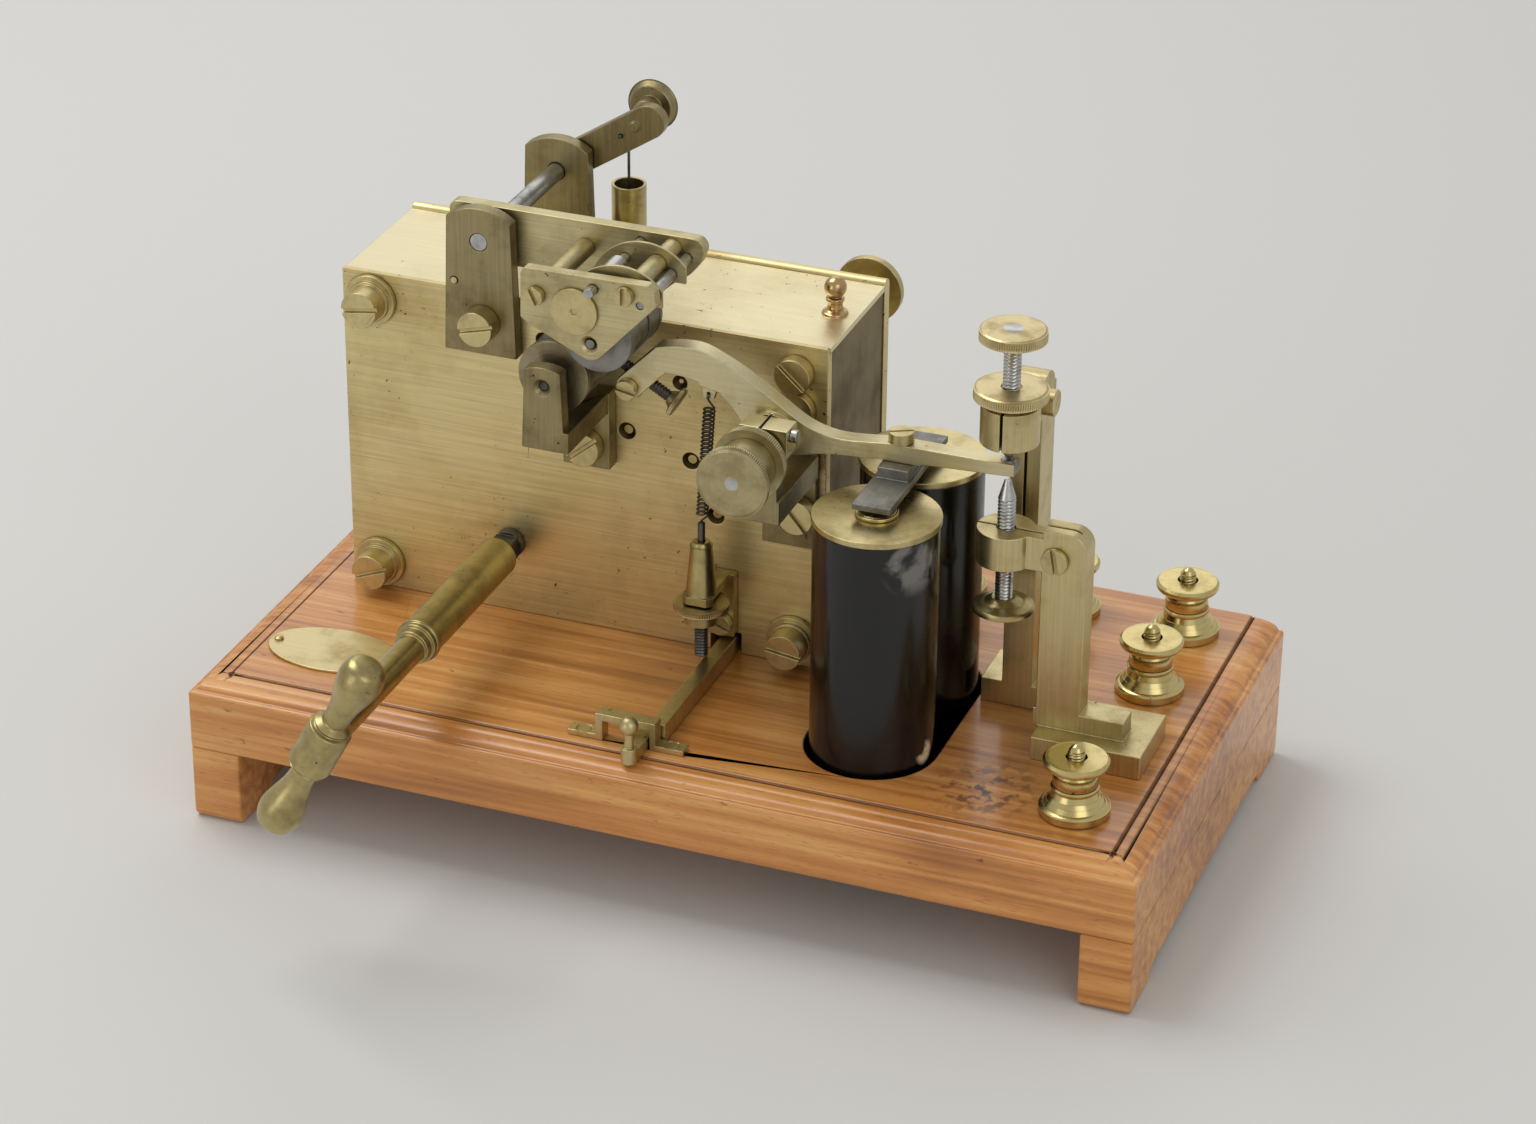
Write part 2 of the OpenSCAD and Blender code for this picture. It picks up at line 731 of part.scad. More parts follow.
// Screws of the pillars, with a thumb screw at the rear's top right corner
module pillar_screws() {
    for (i = [0 : 2]) {
        screw_y(pillar_at[i], case_y - 3.2, 6.2, 7.3, 2.5, 15, slot_turns[i]);
        mirror_back() screw_y(pillar_at[i], case_y, 6, 4, 2.5, 14, 40);
    }
    screw_y(pillar_at[3], case_y, 6, 5, 2.5, 14, 42);
    p = pillar_at[3];
    rod_y(p, in_back - 10, case_back + e, 2.5);
    along_y(case_back, case_back + 8.6) translate(p) rotate(20) square(9, center = true);
    rod_y(p, case_back + 8.6 - e, case_back + 11.6, 11.5);
}

module bracket_screws() {
    screw_y(feed_screw, base_y, 6, 5, screw_r, base_to_plate(base_y), -40);
    screw_y(bracket_screw, bracket_y, 6, 7, screw_r, base_to_plate(bracket_y), -15);
    mirror_back() screw_y(bracket_screw, bracket_y, 6, 5, screw_r, base_to_plate(bracket_y), 10);
    screw_y(lever_screw, lever_base_y, 6, 5, screw_r, base_to_plate(lever_base_y), 50);
    screw_y(tension_screw, case_y - 3.4, 3.7, 3, 1.5, base_to_plate(case_y - 3.4), 20);
    mirror_back() screw_y(tube_screw, case_y - 6, 3.7, 3, 1.5, base_to_plate(case_y - 6), 60);
    rod_y(steady_pin, bracket_y - 0.4, case_y - 0.2, 1.2);
}
function base_to_plate(y) = case_y + 3.6 - y;

// Screws that close the split holders of the contact screws
module clamp_screws() {
    screw_y(stand_clamp, stand_y0, clamp_head_r, 2, clamp_r, stand_y1 - stand_y0 - 0.2, 80);
    difference() {
        rod_x(post_clamp, contact_x + post_half, contact_x + post_half + 5, clamp_head_r);
        translate([contact_x + post_half + 5, post_clamp[0], post_clamp[1]]) rotate([50, 0, 0])
            cube([4.8, 10, 1], center = true);
    }
    rod_x(post_clamp, contact_x - post_half + 0.2, contact_x + post_half + e, clamp_r);
}

module case_screws() {
    color(brass) place() {
        pillar_washers();
        pillar_screws();
        bracket_screws();
        clamp_screws();
    }
}

module top_lid() {
    color(bright_brass) place() {
        block([case_x, case_end], [lid_y0, lid_y1], [lid_z, lid_z + lid_t]);
        translate([knob_at[0], knob_at[1], lid_z + lid_t - e]) rotate_extrude()
            polygon(concat([[0, 0], [4.2, 0], [4.2, 0.8], [2.2, 1.6]],
                arc([4.6, 3.2], 2.2, 210, 150, 4), [[3, 4.8], [3, 5.6], [1.8, 6]],
                arc([0, 9.2], 3.65, -60, 90, 10)));
    }
}

// ---- brackets on the case ----------------------------------------------------

// Slightly tapered plate with a shallow crown
module bracket_outline() {
    crown = pivot[1] + 11.6 - bracket_crown_r;
    shoulder = crown + sqrt(pow(bracket_crown_r, 2) - pow(bracket_half, 2));
    polygon([[pivot[0] - 12.7, case_top - 20], [pivot[0] + 12.6, case_top - 20],
        [pivot[0] + bracket_half, shoulder], [pivot[0] - bracket_half, shoulder]]);
    intersection() {
        disc([pivot[0], crown], bracket_crown_r);
        translate([pivot[0] - bracket_half, shoulder - e]) square([2 * bracket_half, 8]);
    }
}

module frame_brackets() {
    color(dull_brass) place() {
        difference() {
            along_y(bracket_y, case_y) bracket_outline();
            rod_y(pivot, bracket_y - 1, case_y + 1, press_r + fit);
            rod_y(bracket_screw, bracket_y - 1, case_y + 1, screw_r + fit);
            rod_y(steady_pin, bracket_y - 1, case_y + 1, 1.2 + fit);
        }
        mirror_back() difference() {
            along_y(bracket_y, case_y) bracket_outline();
            rod_y(pivot, bracket_y - 1, case_y + 1, press_r + fit);
            rod_y(bracket_screw, bracket_y - 1, case_y + 1, screw_r + fit);
        }
    }
}

// Front arm with a shallow crown, web under the roller and base plate on the case
module feed_roller_bracket() {
    z_low = feed[1] - 42;
    web = [feed[1] - 21.8, feed[1] - 14.6];
    color(dull_brass) place() difference() {
        union() {
            along_y(arm_y0, arm_y1) translate(feed) polygon(concat(
                [[-7.3, web[0] - feed[1]]], arc([0, crown - 16], 16, 112.6, 67.4, 8),
                [[7.3, web[0] - feed[1]]]));
            block([feed[0] - 7, feed[0] + 8.8], [arm_y0, base_y + e], web);
            block([feed[0] - 7, feed[0] + 9.4], [base_y, case_y], [z_low, web[1]]);
        }
        rod_y(feed, arm_y0 - 1, arm_y1 + 1, pivot_r + fit);
        cone_y(feed, arm_y0 - e, arm_y0 + 1.5, 3, pivot_r);
        rod_y(feed_screw, base_y - 1, case_y + 1, screw_r + fit);
    }
}

module spring_tube() {
    color(brass) place() difference() {
        union() {
            rod_z(tube_at, tube_z, tube_top, tube_r);
            block([tube_at[0] - 4, tube_at[0] + 4], [case_back, tube_at[1]], [tube_z, tube_z + 20]);
        }
        rod_z(tube_at, tube_z + 22, tube_top + 1, tube_r - 1);
        rod_y(tube_screw, case_back - 1, tube_at[1] + tube_r + 1, 1.5 + fit);
        rod_y(tube_screw, case_back + 6, tube_at[1] + tube_r + 1, 3.7 + fit);
        rod_z(tube_at, tube_z + 18, tube_z + 23, press_wire / 2 + fit);
    }
}

module lever_bracket() {
    half = 8.2;
    z_low = lever[1] - 47.5;
    color(dull_brass) place() difference() {
        union() {
            block([lever[0] - half, lever[0] + half], [ear_y0, ear_y1], [web_top - 8, lever[1]]);
            rod_y(lever, ear_y0, ear_y1, half);
            block([lever[0] - half, lever[0] + half + 0.8], [ear_y0, lever_base_y + e],
                [web_top - 8, web_top]);
            block([lever[0] - 10, lever[0] + half], [lever_base_y, case_y], [z_low, web_top + 3.6]);
        }
        rod_y(lever, ear_y0 - 1, ear_y1 + 1, lever_arbor_r + fit);
        rod_y(lever_screw, lever_base_y - 1, case_y + 1, screw_r + fit);
    }
}

module lever_rear_bearing() {
    color(brass) place() difference() {
        union() {
            rod_y(lever, case_y - 3.6, case_y, bearing_r);
            rod_y(lever, case_y - e, in_front, 3.5);
        }
        rod_y(lever, case_y - 5, case_y + 1, lever_arbor_r + fit);
        translate([lever[0], case_y - 3.6, lever[1]]) rotate([0, 35, 0])
            cube([20, 2.4, 1.2], center = true);
    }
}

module tension_bracket() {
    leg_y = case_y - 3.4;
    color(dull_brass) place() difference() {
        union() {
            block([adjust[0] - 4, adjust[0] + 6], [leg_y, case_y], [notch_top + 0.2, arm_z + arm_t]);
            block([adjust[0] - 5.2, adjust[0] + 4], [adjust[1], leg_y + e], [arm_z, arm_z + arm_t]);
            along_z(arm_z, arm_z + arm_t) translate(adjust)
                polygon([[-5.2, e], [-5.2, -3.4], [-3.4, -5.2], [3.4, -5.2], [5.2, -3.4], [4, e]]);
            cone_z(adjust, arm_z + arm_t - e, arm_z + arm_t + 17, 5.1, 3.5);
            cone_z(adjust, arm_z + arm_t + 17 - e, arm_z + arm_t + 18.5, 3.5, 2.7);
        }
        rod_z(adjust, arm_z - 1, rod_shoulder + 3, rod_r + fit);
        rod_z(adjust, arm_z - 1, arm_z + 40, hook_r + fit);
        rod_y(tension_screw, leg_y - 1, case_y + 1, 1.5 + fit);
    }
}

// ---- clockwork ---------------------------------------------------------------

function click_at() = wind + [14, 10];

module winding_arbor() {
    color(steel) place() {
        rod_y(wind, case_y - 3.4, case_y - 0.1, 5);
        along_y(60, case_y - 3.4 + e) translate(wind) square(square_w, center = true);
        rod_y(wind, case_y - 0.2, barrel_y0 + 1, wind_r);
        rod_y(wind, barrel_y0 + 1 - e, barrel_y1 + 4, 5);
        rod_y(wind, barrel_y1 + 4 - e, in_back - 0.6, wind_r);
        rod_y(wind, in_back - 0.6 - e, case_back - 0.5, 3);
        along_y(ratchet_y, ratchet_y + 3) translate(wind) polygon(ratchet_outline());
    }
}

module mainspring_barrel() {
    wall = 1.6;
    color(brass) place() difference() {
        union() {
            wheel(wind, great_teeth, great_mod, 0, great_y, wheel_t);
            rod_y(wind, barrel_y0 - e, barrel_y1, barrel_r);
        }
        rod_y(wind, great_y - 1, barrel_y0 + 1 - clear, wind_r + fit);
        rod_y(wind, barrel_y0 + 1 - clear - e, barrel_y1 + 1, 5 + fit);
        rod_y(wind, barrel_y0 + wall, barrel_y1 - wall, barrel_r - wall);
    }
}

// Flat spiral spring hooked to the barrel's wall
module mainspring() {
    turns = 7;
    thick = 0.7;
    r0 = 6.5;
    r1 = barrel_r - 1.6 - thick;
    steps = turns * 20;
    mid = [for (i = [0 : steps]) [360 * i / 20, r0 + (r1 - r0) * i / steps]];
    color(dark_steel) place() along_y(barrel_y0 + 2.2, barrel_y1 - 2.2) translate(wind)
        polygon(concat([for (p = mid) polar(p[0], p[1])],
            [for (i = [steps : -1 : 0]) polar(mid[i][0], mid[i][1] + thick)]));
}

module second_wheel() {
    color(brass) place() {
        rod_y(second, in_front - 2.6, in_back + 2.6, pivot_r);
        rod_y(second, in_front + 0.6, in_back - 0.6, arbor_r);
        wheel(second, pinion_great, great_mod, second_phase, great_y - 0.6, wheel_t + 1.2);
        wheel(second, second_teeth, second_mod, 0, second_y, wheel_t);
    }
}

module centre_wheel() {
    color(brass) place() {
        rod_y(centre, case_y + 1.4, case_back - 1, pivot_r);
        rod_y(centre, in_front + 0.6, in_back - 0.6, arbor_r);
        wheel(centre, feed_drive, feed_mod, 0, feed_y, wheel_t);
        wheel(centre, third_drive, third_mod, 0, third_y, wheel_t);
        wheel(centre, centre_pinion, second_mod, centre_phase, second_y - 0.8, wheel_t + 1.6);
    }
}

module idler_wheel() {
    color(brass) place() {
        rod_y(idler, in_front - 2.6, in_back + 2.6, pivot_r);
        rod_y(idler, in_front + 0.6, in_back - 0.6, arbor_r);
        wheel(idler, idler_teeth, feed_mod, idler_phase, feed_y, wheel_t);
    }
}

module third_wheel() {
    color(brass) place() {
        rod_y(third, case_y + 1.4, case_back - 1, pivot_r);
        rod_y(third, in_front + 0.6, in_back - 0.6, arbor_r);
        wheel(third, third_pinion, third_mod, third_phase, third_y - 0.6, wheel_t + 1.2);
        wheel(third, fly_drive, fly_mod, 0, fly_y, wheel_t);
    }
}

module fly() {
    vane_t = 0.8;
    color(brass) place() {
        rod_y(fly_at, case_y + 1.4, case_back - 1, pivot_r);
        rod_y(fly_at, in_front + 0.6, in_back - 0.6, 1.7);
        wheel(fly_at, fly_pinion, fly_mod, fly_phase, fly_y - 0.5, wheel_t + 1);
        rod_y(fly_at, vane_y, vane_y + vane_l, 2.6);
        block([fly_at[0] - fly_r, fly_at[0] + fly_r], [vane_y + 1, vane_y + vane_l - 1],
            [fly_at[1] - vane_t / 2, fly_at[1] + vane_t / 2]);
        rod_y(fly_at, brake_y, brake_y + 2, brake_r);
    }
}

module click() {
    c = click_at();
    nose = wind + polar(19.5, 0.945 * ratchet_r);
    side = unit([c[1] - nose[1], nose[0] - c[0]]);
    color(steel) place() {
        rod_y(c, ratchet_y + 3 - e, in_back + 2.6, 1.5);
        along_y(ratchet_y, ratchet_y + 3) {
            disc(c, 2.6);
            polygon([c + 1.8 * side, c - 1.8 * side, nose - 0.3 * side, nose + 0.3 * side]);
        }
    }
}

module winding_key() {
    back = 72;
    front = back - socket_l;
    color(dull_brass) place() {
        difference() {
            union() {
                rod_y(wind, front, back, socket_r);
                rod_y(wind, front + 2, front + 4, socket_r + 0.5);
                rod_y(wind, -handle_out, front + e, shaft_r);
                rod_y(wind, front - 3, front, shaft_r + 1.1);
            }
            along_y(59, back + 1) translate(wind) square(square_w + 2 * 0.1, center = true);
        }
        translate([wind[0], -handle_out, wind[1]]) rotate([0, 90 - handle_angle, 0])
            rotate_extrude() polygon(handle_profile());
    }
}

// Half section of the T handle: hub with ring collars and two pear grips
function handle_profile() =
    let (h = handle_l / 2,
        side = concat([[hub_r, hub_half - 1.5], [hub_r, hub_half], [hub_r - 1.6, hub_half + 0.4],
            [hub_r - 1.6, hub_half + 1], [hub_r - 0.8, hub_half + 1.6], [hub_r - 1.8, hub_half + 2.2]],
            curve([[4.1, hub_half + 3], [4.6, h * 0.48], [6.2, h * 0.66], [grip_r, h * 0.82],
                [grip_r - 1.2, h * 0.95], [3.2, h]], 4), [[0, h]]))
    concat([for (i = [len(side) - 1 : -1 : 0]) [side[i][0], -side[i][1]]], side);

// ---- tape feed ---------------------------------------------------------------

module feed_roller() {
    color(dark_steel) place() {
        rod_y(feed, arm_y0 + 1.4, case_back - 1, pivot_r);
        rod_y(feed, arm_y1 + 0.4, in_back - 0.6, 2.5);
        rod_y(feed, flange_y0, flange_y0 + flange_t, feed_r);
        rod_y(feed, flange_y0 + flange_t - e, feed_back, feed_r - 0.3);
        wheel(feed, feed_teeth, feed_mod, feed_phase, feed_y, wheel_t);
    }
}

module embossing_roller() {
    groove = 0.8;
    color(steel) place() difference() {
        union() {
            rod_y(emboss, head_y0 + 0.6, long_y1 - 0.6, pivot_r);
            rod_y(emboss, head_y1 + 0.6, long_y0 - 0.6, 2.4);
            rod_y(emboss, roller_y0, roller_y1, emboss_r());
            rod_y(emboss, roller_y1 - e, roller_y1 + 2, emboss_r() + 0.25);
        }
        difference() {
            rod_y(emboss, tape_y - groove, tape_y + groove, emboss_r() + 1);
            rod_y(emboss, tape_y - groove - 1, tape_y + groove + 1, emboss_r() - 0.8);
        }
    }
}

module pressure_shaft() {
    color(steel) place() rod_y(pivot, bracket_y + 0.2, rear_arm_y + rear_arm_t + 0.5, press_r);
}

module long_outline() {
    top = pivot[1] + 10.4;
    left = pivot[0] - 12.8;
    low = pivot[1] - 9.2;
    polygon(concat(
        arc([left + 3, top - 3], 3, 180, 90, 4),
        arc([emboss[0] + 19.3, top - 3.6], 3.6, 90, -15, 5),
        curve([emboss + [21.5, 14.9], emboss + [18.1, 10.6], emboss + [13.4, 7.3],
            emboss + [9.6, 3.9], emboss + [6, 0]], 3),
        arc(emboss, 6, 0, -180, 10),
        [emboss + [-6, 0], [emboss[0] - 9.5, low]],
        arc([left + 3, low + 3], 3, 270, 180, 4)
    ));
}

module frame_holes(y0, y1) {
    rod_y(emboss, y0, y1, pivot_r + fit);
    rod_y(guide_at, y0, y1, 1.2 + fit);
}

module pressure_rear_plate() {
    color(brass) place() difference() {
        along_y(long_y0, long_y1) long_outline();
        rod_y(pivot, long_y0 - 1, long_y1 + 1, press_r + fit / 2);
        frame_holes(long_y0 - 1, long_y1 + 1);
        for (p = [pillar_1, pillar_2, pin_at])
            rod_y(p, long_y0 - 1, long_y1 + 1, 1.6 + fit / 2);
    }
}

module head_outline() {
    translate(emboss) polygon(concat([[-22.9, 20.9], [-21.8, 22.7], [19.7, 23.3], [21.9, 21.6],
        [22.6, 16.6]], arc([0, 0], 5.3, -40, -125, 6), [[-20.6, 3.9], [-23.2, 5.6]]));
}

module pressure_front_plate() {
    color(brass) place() difference() {
        along_y(head_y0, head_y1) head_outline();
        frame_holes(head_y0 - 1, head_y1 + 1);
        cone_y(emboss, head_y0 - e, head_y0 + 1.5, 3, pivot_r);
        for (p = [pillar_1, pillar_2])
            rod_y(p, head_y0 - 1, head_y1 + 1, 1.6 + fit / 2);
        rod_y(pin_at, head_y0 - 1, head_y1 + 1, 1.6 + fit / 2);
        rod_y(disc_at, head_y0 - 1, head_y0 + 3.1, 1.6 + fit);
    }
}

module frame_pillars() {
    color(brass) place() for (p = [pillar_1, pillar_2]) difference() {
        union() {
            rod_y(p, head_y1, long_y0, frame_pillar_r);
            rod_y(p, long_y0 - e, long_y1, 1.6);
        }
        rod_y(p, head_y1 - 1, head_y1 + 8, 1.6 + fit / 2);
    }
}

module frame_screws() {
    color(brass) place() {
        screw_y(pillar_1, head_y0, 3, 2.6, 1.6, 11, 65);
        screw_y(pillar_2, head_y0, 3, 2.6, 1.6, 11, 90);
        difference() {
            union() {
                rod_y(disc_at, head_y0 - 1.2, head_y0, 7.8);
                rod_y(disc_at, head_y0 - e, head_y0 + 3, 1.6);
            }
            rod_y(disc_at, head_y0 - 2, head_y0 - 0.6, 1.1);
        }
    }
}

module guide_cheeks() {
    arc_at = emboss + [7.9, 6.9];
    low = emboss[1] + 13.4;
    color(brass) place() for (y = cheek_y) difference() {
        along_y(y, y + cheek_plate) intersection() {
            disc(arc_at, 18.5);
            translate([arc_at[0] - 20, low]) square([34, 20]);
        }
        rod_y(pillar_2, y - 1, y + 2, frame_pillar_r + fit / 2);
        rod_y(guide_at, y - 1, y + 2, 1.9 + fit);
        rod_y(pin_at, y - 1, y + 2, 1.6 + fit);
    }
}

module guide_pin() {
    color(steel) place() {
        rod_y(pin_at, head_y0 - 4, long_y1, 1.6);
        rod_y(pin_at, cheek_y[0] + 3, cheek_y[0] + 14, 3);
    }
}

module guide_roller() {
    color(steel) place() {
        rod_y(guide_at, head_y0 + 0.5, long_y1 - 0.5, 1.2);
        rod_y(guide_at, head_y1 + 0.4, long_y0 - 0.4, 1.9);
    }
}

module rear_arm() {
    tip = pivot + polar(arm_angle, arm_len);
    color(dull_brass) place() {
        difference() {
            along_y(rear_arm_y, rear_arm_y + rear_arm_t) {
                disc(pivot, 8);
                bar(pivot, tip, 11.5);
                disc(tip, 5.75);
            }
            rod_y(pivot, rear_arm_y - 1, rear_arm_y + rear_arm_t + 1, press_r + fit / 2);
            rod_y([tube_at[0], hook_z], rear_arm_y - 1, rear_arm_y + rear_arm_t + 1,
                press_wire / 2 + 0.2);
        }
        knob = [pivot[0] + 27.5, pivot[1] + 21.3];
        rod_y(knob, rear_arm_y + rear_arm_t - e, rear_arm_y + rear_arm_t + 5.5, 4);
        cone_y(knob, rear_arm_y + rear_arm_t + 5.5 - e, rear_arm_y + rear_arm_t + 8, 7.2, 8.5);
        cone_y(knob, rear_arm_y + rear_arm_t + 8 - e, rear_arm_y + rear_arm_t + 9.6, 8.5, 6);
        rod_y([pivot[0] + 25.8, pivot[1] + 17.8], rear_arm_y - 1.2, rear_arm_y + e, 1.8);
    }
}

function tube_spring_path() = concat(
    spring_path(tube_at, tube_z + 20, tube_top - 2, 2.7, tube_r - 1.8 - press_wire / 2,
        press_curls, 0),
    [[tube_at[0], tube_at[1], tube_top - 2], [tube_at[0], tube_at[1], hook_z - 1.6],
        [tube_at[0], tube_at[1] - 0.5, hook_z - 0.4],
        [tube_at[0], tube_at[1] - 1.6, hook_z], [tube_at[0], rear_arm_y - 1.4, hook_z]]
);

module tube_spring() {
    color(dark_steel) place() spring(tube_spring_path(), press_wire);
    echo(tube_spring_gap = spring_gap(tube_spring_path(), press_curls, press_wire));
}

// ---- writing lever -----------------------------------------------------------

module lever_outline() {
    top = curve([[-39.4, 23.8], [-31.3, 25.2], [-24.6, 25], [-17.9, 22.4], [-11.2, 19.1],
        [-4.5, 15.1], [2.2, 10.8], [8.9, 6.4], [15, 3.9], [22.3, 2.9], [30.6, 3.5],
        [38, lever_top]], 3);
    low = curve([[31, -2.3], [25.5, -2.4], [16.2, -3.4], [9, -5.2], [3.4, -6.7]], 3);
    under = curve([[-8, -3], [-11.8, 4.4], [-17.9, 11], [-23.9, 13.6], [-30.3, 14.9],
        [-36.4, 15.1]], 3);
    translate(lever) polygon(concat(top, [[38, lever_top], [lever_end, lever_top], [lever_end, 0.3],
        [60, -0.5], [49.5, -1], [48.5, -1.7], [34, -1.7]], low, [[3.4, -6.7], [-4, -7]], under,
        [[-36.4, 15.1], [-41.2, 10], [-45.8, 5.1], [-52.2, 10.7]]));
    translate(lever) polygon([[-25.4, 14.5], [-24.4, 7.8], [-20.8, 7.8], [-19.2, 13.2]]);
    disc(lobe, 4.2);
    disc(lever, 8.2);
}

// Space beside the lug that holds the tension spring
module hook_relief() {
    translate(lever) polygon([[-26, 13], [-26, 7], [-18, 7], [-18, 11.5]]);
}

module stylus_axis() {
    translate([stylus_head[0], lever_y, stylus_head[1]]) rotate([0, -stylus_angle, 0])
        rotate([0, 90, 0]) children();
}

module writing_lever() {
    color(brass) place() difference() {
        union() {
            along_y(lever_y0, lever_y1) lever_outline();
            rod_y(lever, clamp_y0, lever_y0 + e, 8.2);
            along_y(clamp_y0, lever_y0 - 3) translate(lever + [-7, 0]) square([16, 8.2]);
        }
        rod_y(lever, clamp_y0 - 1, lever_y1 + 1, lever_arbor_r + fit / 2);
        along_y(clamp_y0 - 1, lever_y0 - 1) translate(lever + [-0.4, 0]) square([0.8, 12]);
        stylus_axis() cylinder(h = 40, r = stylus_r + fit);
        rod_y(lobe, lever_y0 - 1, lever_y1 + 1, screw_r + fit / 2);
        along_y(lever_y0 - 1, lever_y - 1) hook_relief();
        along_y(lever_y + 1, lever_y1 + 1) hook_relief();
        rod_y(hook_at, lever_y - 2, lever_y + 2, tension_wire / 2 + 0.1);
        rod_x(clamp_at, lever[0] - 8, lever[0] + 12, 1.2 + fit / 2);
        rod_z([coil_x, lever_y], pad_z - 1, lever[1] + lever_top + 1, 1.2 + fit / 2);
        rod_z(contact_at, lever[1] - 2, lever[1] + lever_top + 1, 1.5 + fit / 2);
    }
}

module lever_arbor() {
    color(steel) place() {
        rod_y(lever, ear_y1 - 2.4, case_y + 0.6, lever_arbor_r);
    }
}

module lever_screws() {
    color(steel) place() {
        screw_y(lobe, lever_y0, 3.4, 3, screw_r, lever_t - 0.4, 10);
        rod_x(clamp_at, lever[0] - 6, lever[0] + 9 + e, 1.2);
        rod_x(clamp_at, lever[0] + 9, lever[0] + 11.2, 2.1);
        rod_z(contact_at, anvil_low, lever[1] + lever_top + e, 1.5);
        cone_z(contact_at, lever[1] + lever_top, anvil_top, 2.6, 2);
        rod_z([coil_x, lever_y], armature_z + 1, lever[1] + lever_top + e, 1.2);
        difference() {
            rod_z([coil_x, lever_y], lever[1] + lever_top, lever[1] + lever_top + 3.6, 4);
            translate([coil_x, lever_y, lever[1] + lever_top + 3.6]) rotate(27)
                cube([10, 0.8, 2.4], center = true);
        }
    }
}

module armature() {
    half = 27.5;
    color(brass) place() difference() {
        union() {
            block([coil_x - 6.3, coil_x + 6.3], [lever_y - half, lever_y + half],
                [armature_z, armature_z + armature_t]);
            block([coil_x - 5, coil_x + 5], [lever_y - 8, lever_y + 8],
                [armature_z + armature_t - e, pad_z]);
        }
        rod_z([coil_x, lever_y], armature_z - 1, pad_z + 1, 1.2 + fit / 2);
    }
}

module stylus() {
    color(dark_steel) place() stylus_axis() {
        translate([0, 0, -2]) cylinder(h = 2 + e, r = 5);
        cylinder(h = 2.4, r1 = 4.4, r2 = stylus_r);
        cylinder(h = stylus_l - 2, r = stylus_r);
        translate([0, 0, stylus_l - 2 - e]) cylinder(h = 2, r1 = stylus_r, r2 = 0.4);
    }
}

module bearing_screw() {
    front = ear_y0 - 18;
    color(brass) place() {
        rod_y(lever, front, front + 3, 11.7);
        rod_y(lever, front + 3 - e, ear_y0 - 3.5, 9);
        rod_y(lever, ear_y0 - 3.5 - e, ear_y0 - clear, 11.7);
        rod_y(lever, ear_y0 - clear - e, ear_y1 - 2.6, lever_arbor_r);
    }
}

module tension_nut() {
    color(brass) place() difference() {
        union() {
            rod_z(adjust, nut_z - 0.2, arm_z - clear, 9.2);
            rod_z(adjust, nut_z - 5, nut_z, 5.6);
        }
        rod_z(adjust, nut_z - 6, arm_z, rod_r + fit);
    }
}

module tension_rod() {
    color(steel) place() difference() {
        union() {
            rod_z(adjust, rod_bottom, rod_shoulder, rod_r);
            rod_z(adjust, rod_shoulder - e, rod_top, hook_r);
        }
        rod_z(adjust, rod_top - 2, rod_top + 1, tension_wire / 2 + fit);
    }
}

function tension_path() = concat(
    spring_path([adjust[0], adjust[1]], rod_top - 1.5, hook_at[1] - 1.5, 1.9,
        tension_r - tension_wire / 2, tension_curls, tension_lean),
    [[hook_at[0], lever_y - 1.9, hook_at[1] - 1.2], [hook_at[0], lever_y - 1.7, hook_at[1] - 0.2],
        [hook_at[0], lever_y - 1.2, hook_at[1]], [hook_at[0], lever_y + 1, hook_at[1]]]
);

module tension_spring() {
    color(dark_steel) place() spring(tension_path(), tension_wire);
    echo(tension_spring_gap = spring_gap(tension_path(), tension_curls, tension_wire));
}

// ---- magnet ------------------------------------------------------------------

module magnet_yoke() {
    color(dark_steel) place() difference() {
        block([coil_x - 8, coil_x + 8], [yoke_screw_y[0] - 6, yoke_screw_y[1] + 6],
            [batten_h - yoke_t, batten_h]);
        for (y = [coil_y1, coil_y2])
            rod_z([coil_x, y], batten_h - yoke_t - 1, batten_h + 1, core_r - 2 + fit / 2);
        for (y = yoke_screw_y)
            rod_z([coil_x, y], batten_h - yoke_t - 1, batten_h + 1, screw_r + fit);
    }
}

module magnet_cores() {
    color(dark_steel) place() for (y = [coil_y1, coil_y2]) {
        rod_z([coil_x, y], batten_h - yoke_t, batten_h + e, core_r - 2);
        rod_z([coil_x, y], batten_h, core_top, core_r);
        difference() {
            rod_z([coil_x, y], bobbin_top + e, core_top - 0.3, core_r + 0.9);
            rod_z([coil_x, y], bobbin_top - 1, core_top, core_r - e);
        }
    }
}

module coil_bobbins() {
    color(brass) place() for (y = [coil_y1, coil_y2]) difference() {
        union() {
            rod_z([coil_x, y], batten_h, batten_h + cheek_t, cheek_r);
            rod_z([coil_x, y], batten_h, bobbin_top, core_r + 1.6);
            rod_z([coil_x, y], bobbin_top - cheek_t, bobbin_top, cheek_r);
        }
        rod_z([coil_x, y], batten_h - 1, bobbin_top + 1, core_r + fit / 2);
    }
}

module coil_windings() {
    color(black) place() for (y = [coil_y1, coil_y2]) difference() {
        rod_z([coil_x, y], batten_h + cheek_t, bobbin_top - cheek_t, cheek_r - 0.5);
        rod_z([coil_x, y], batten_h, bobbin_top, core_r + 1.6 + fit / 2);
    }
}

// ---- contacts and terminals ----------------------------------------------------

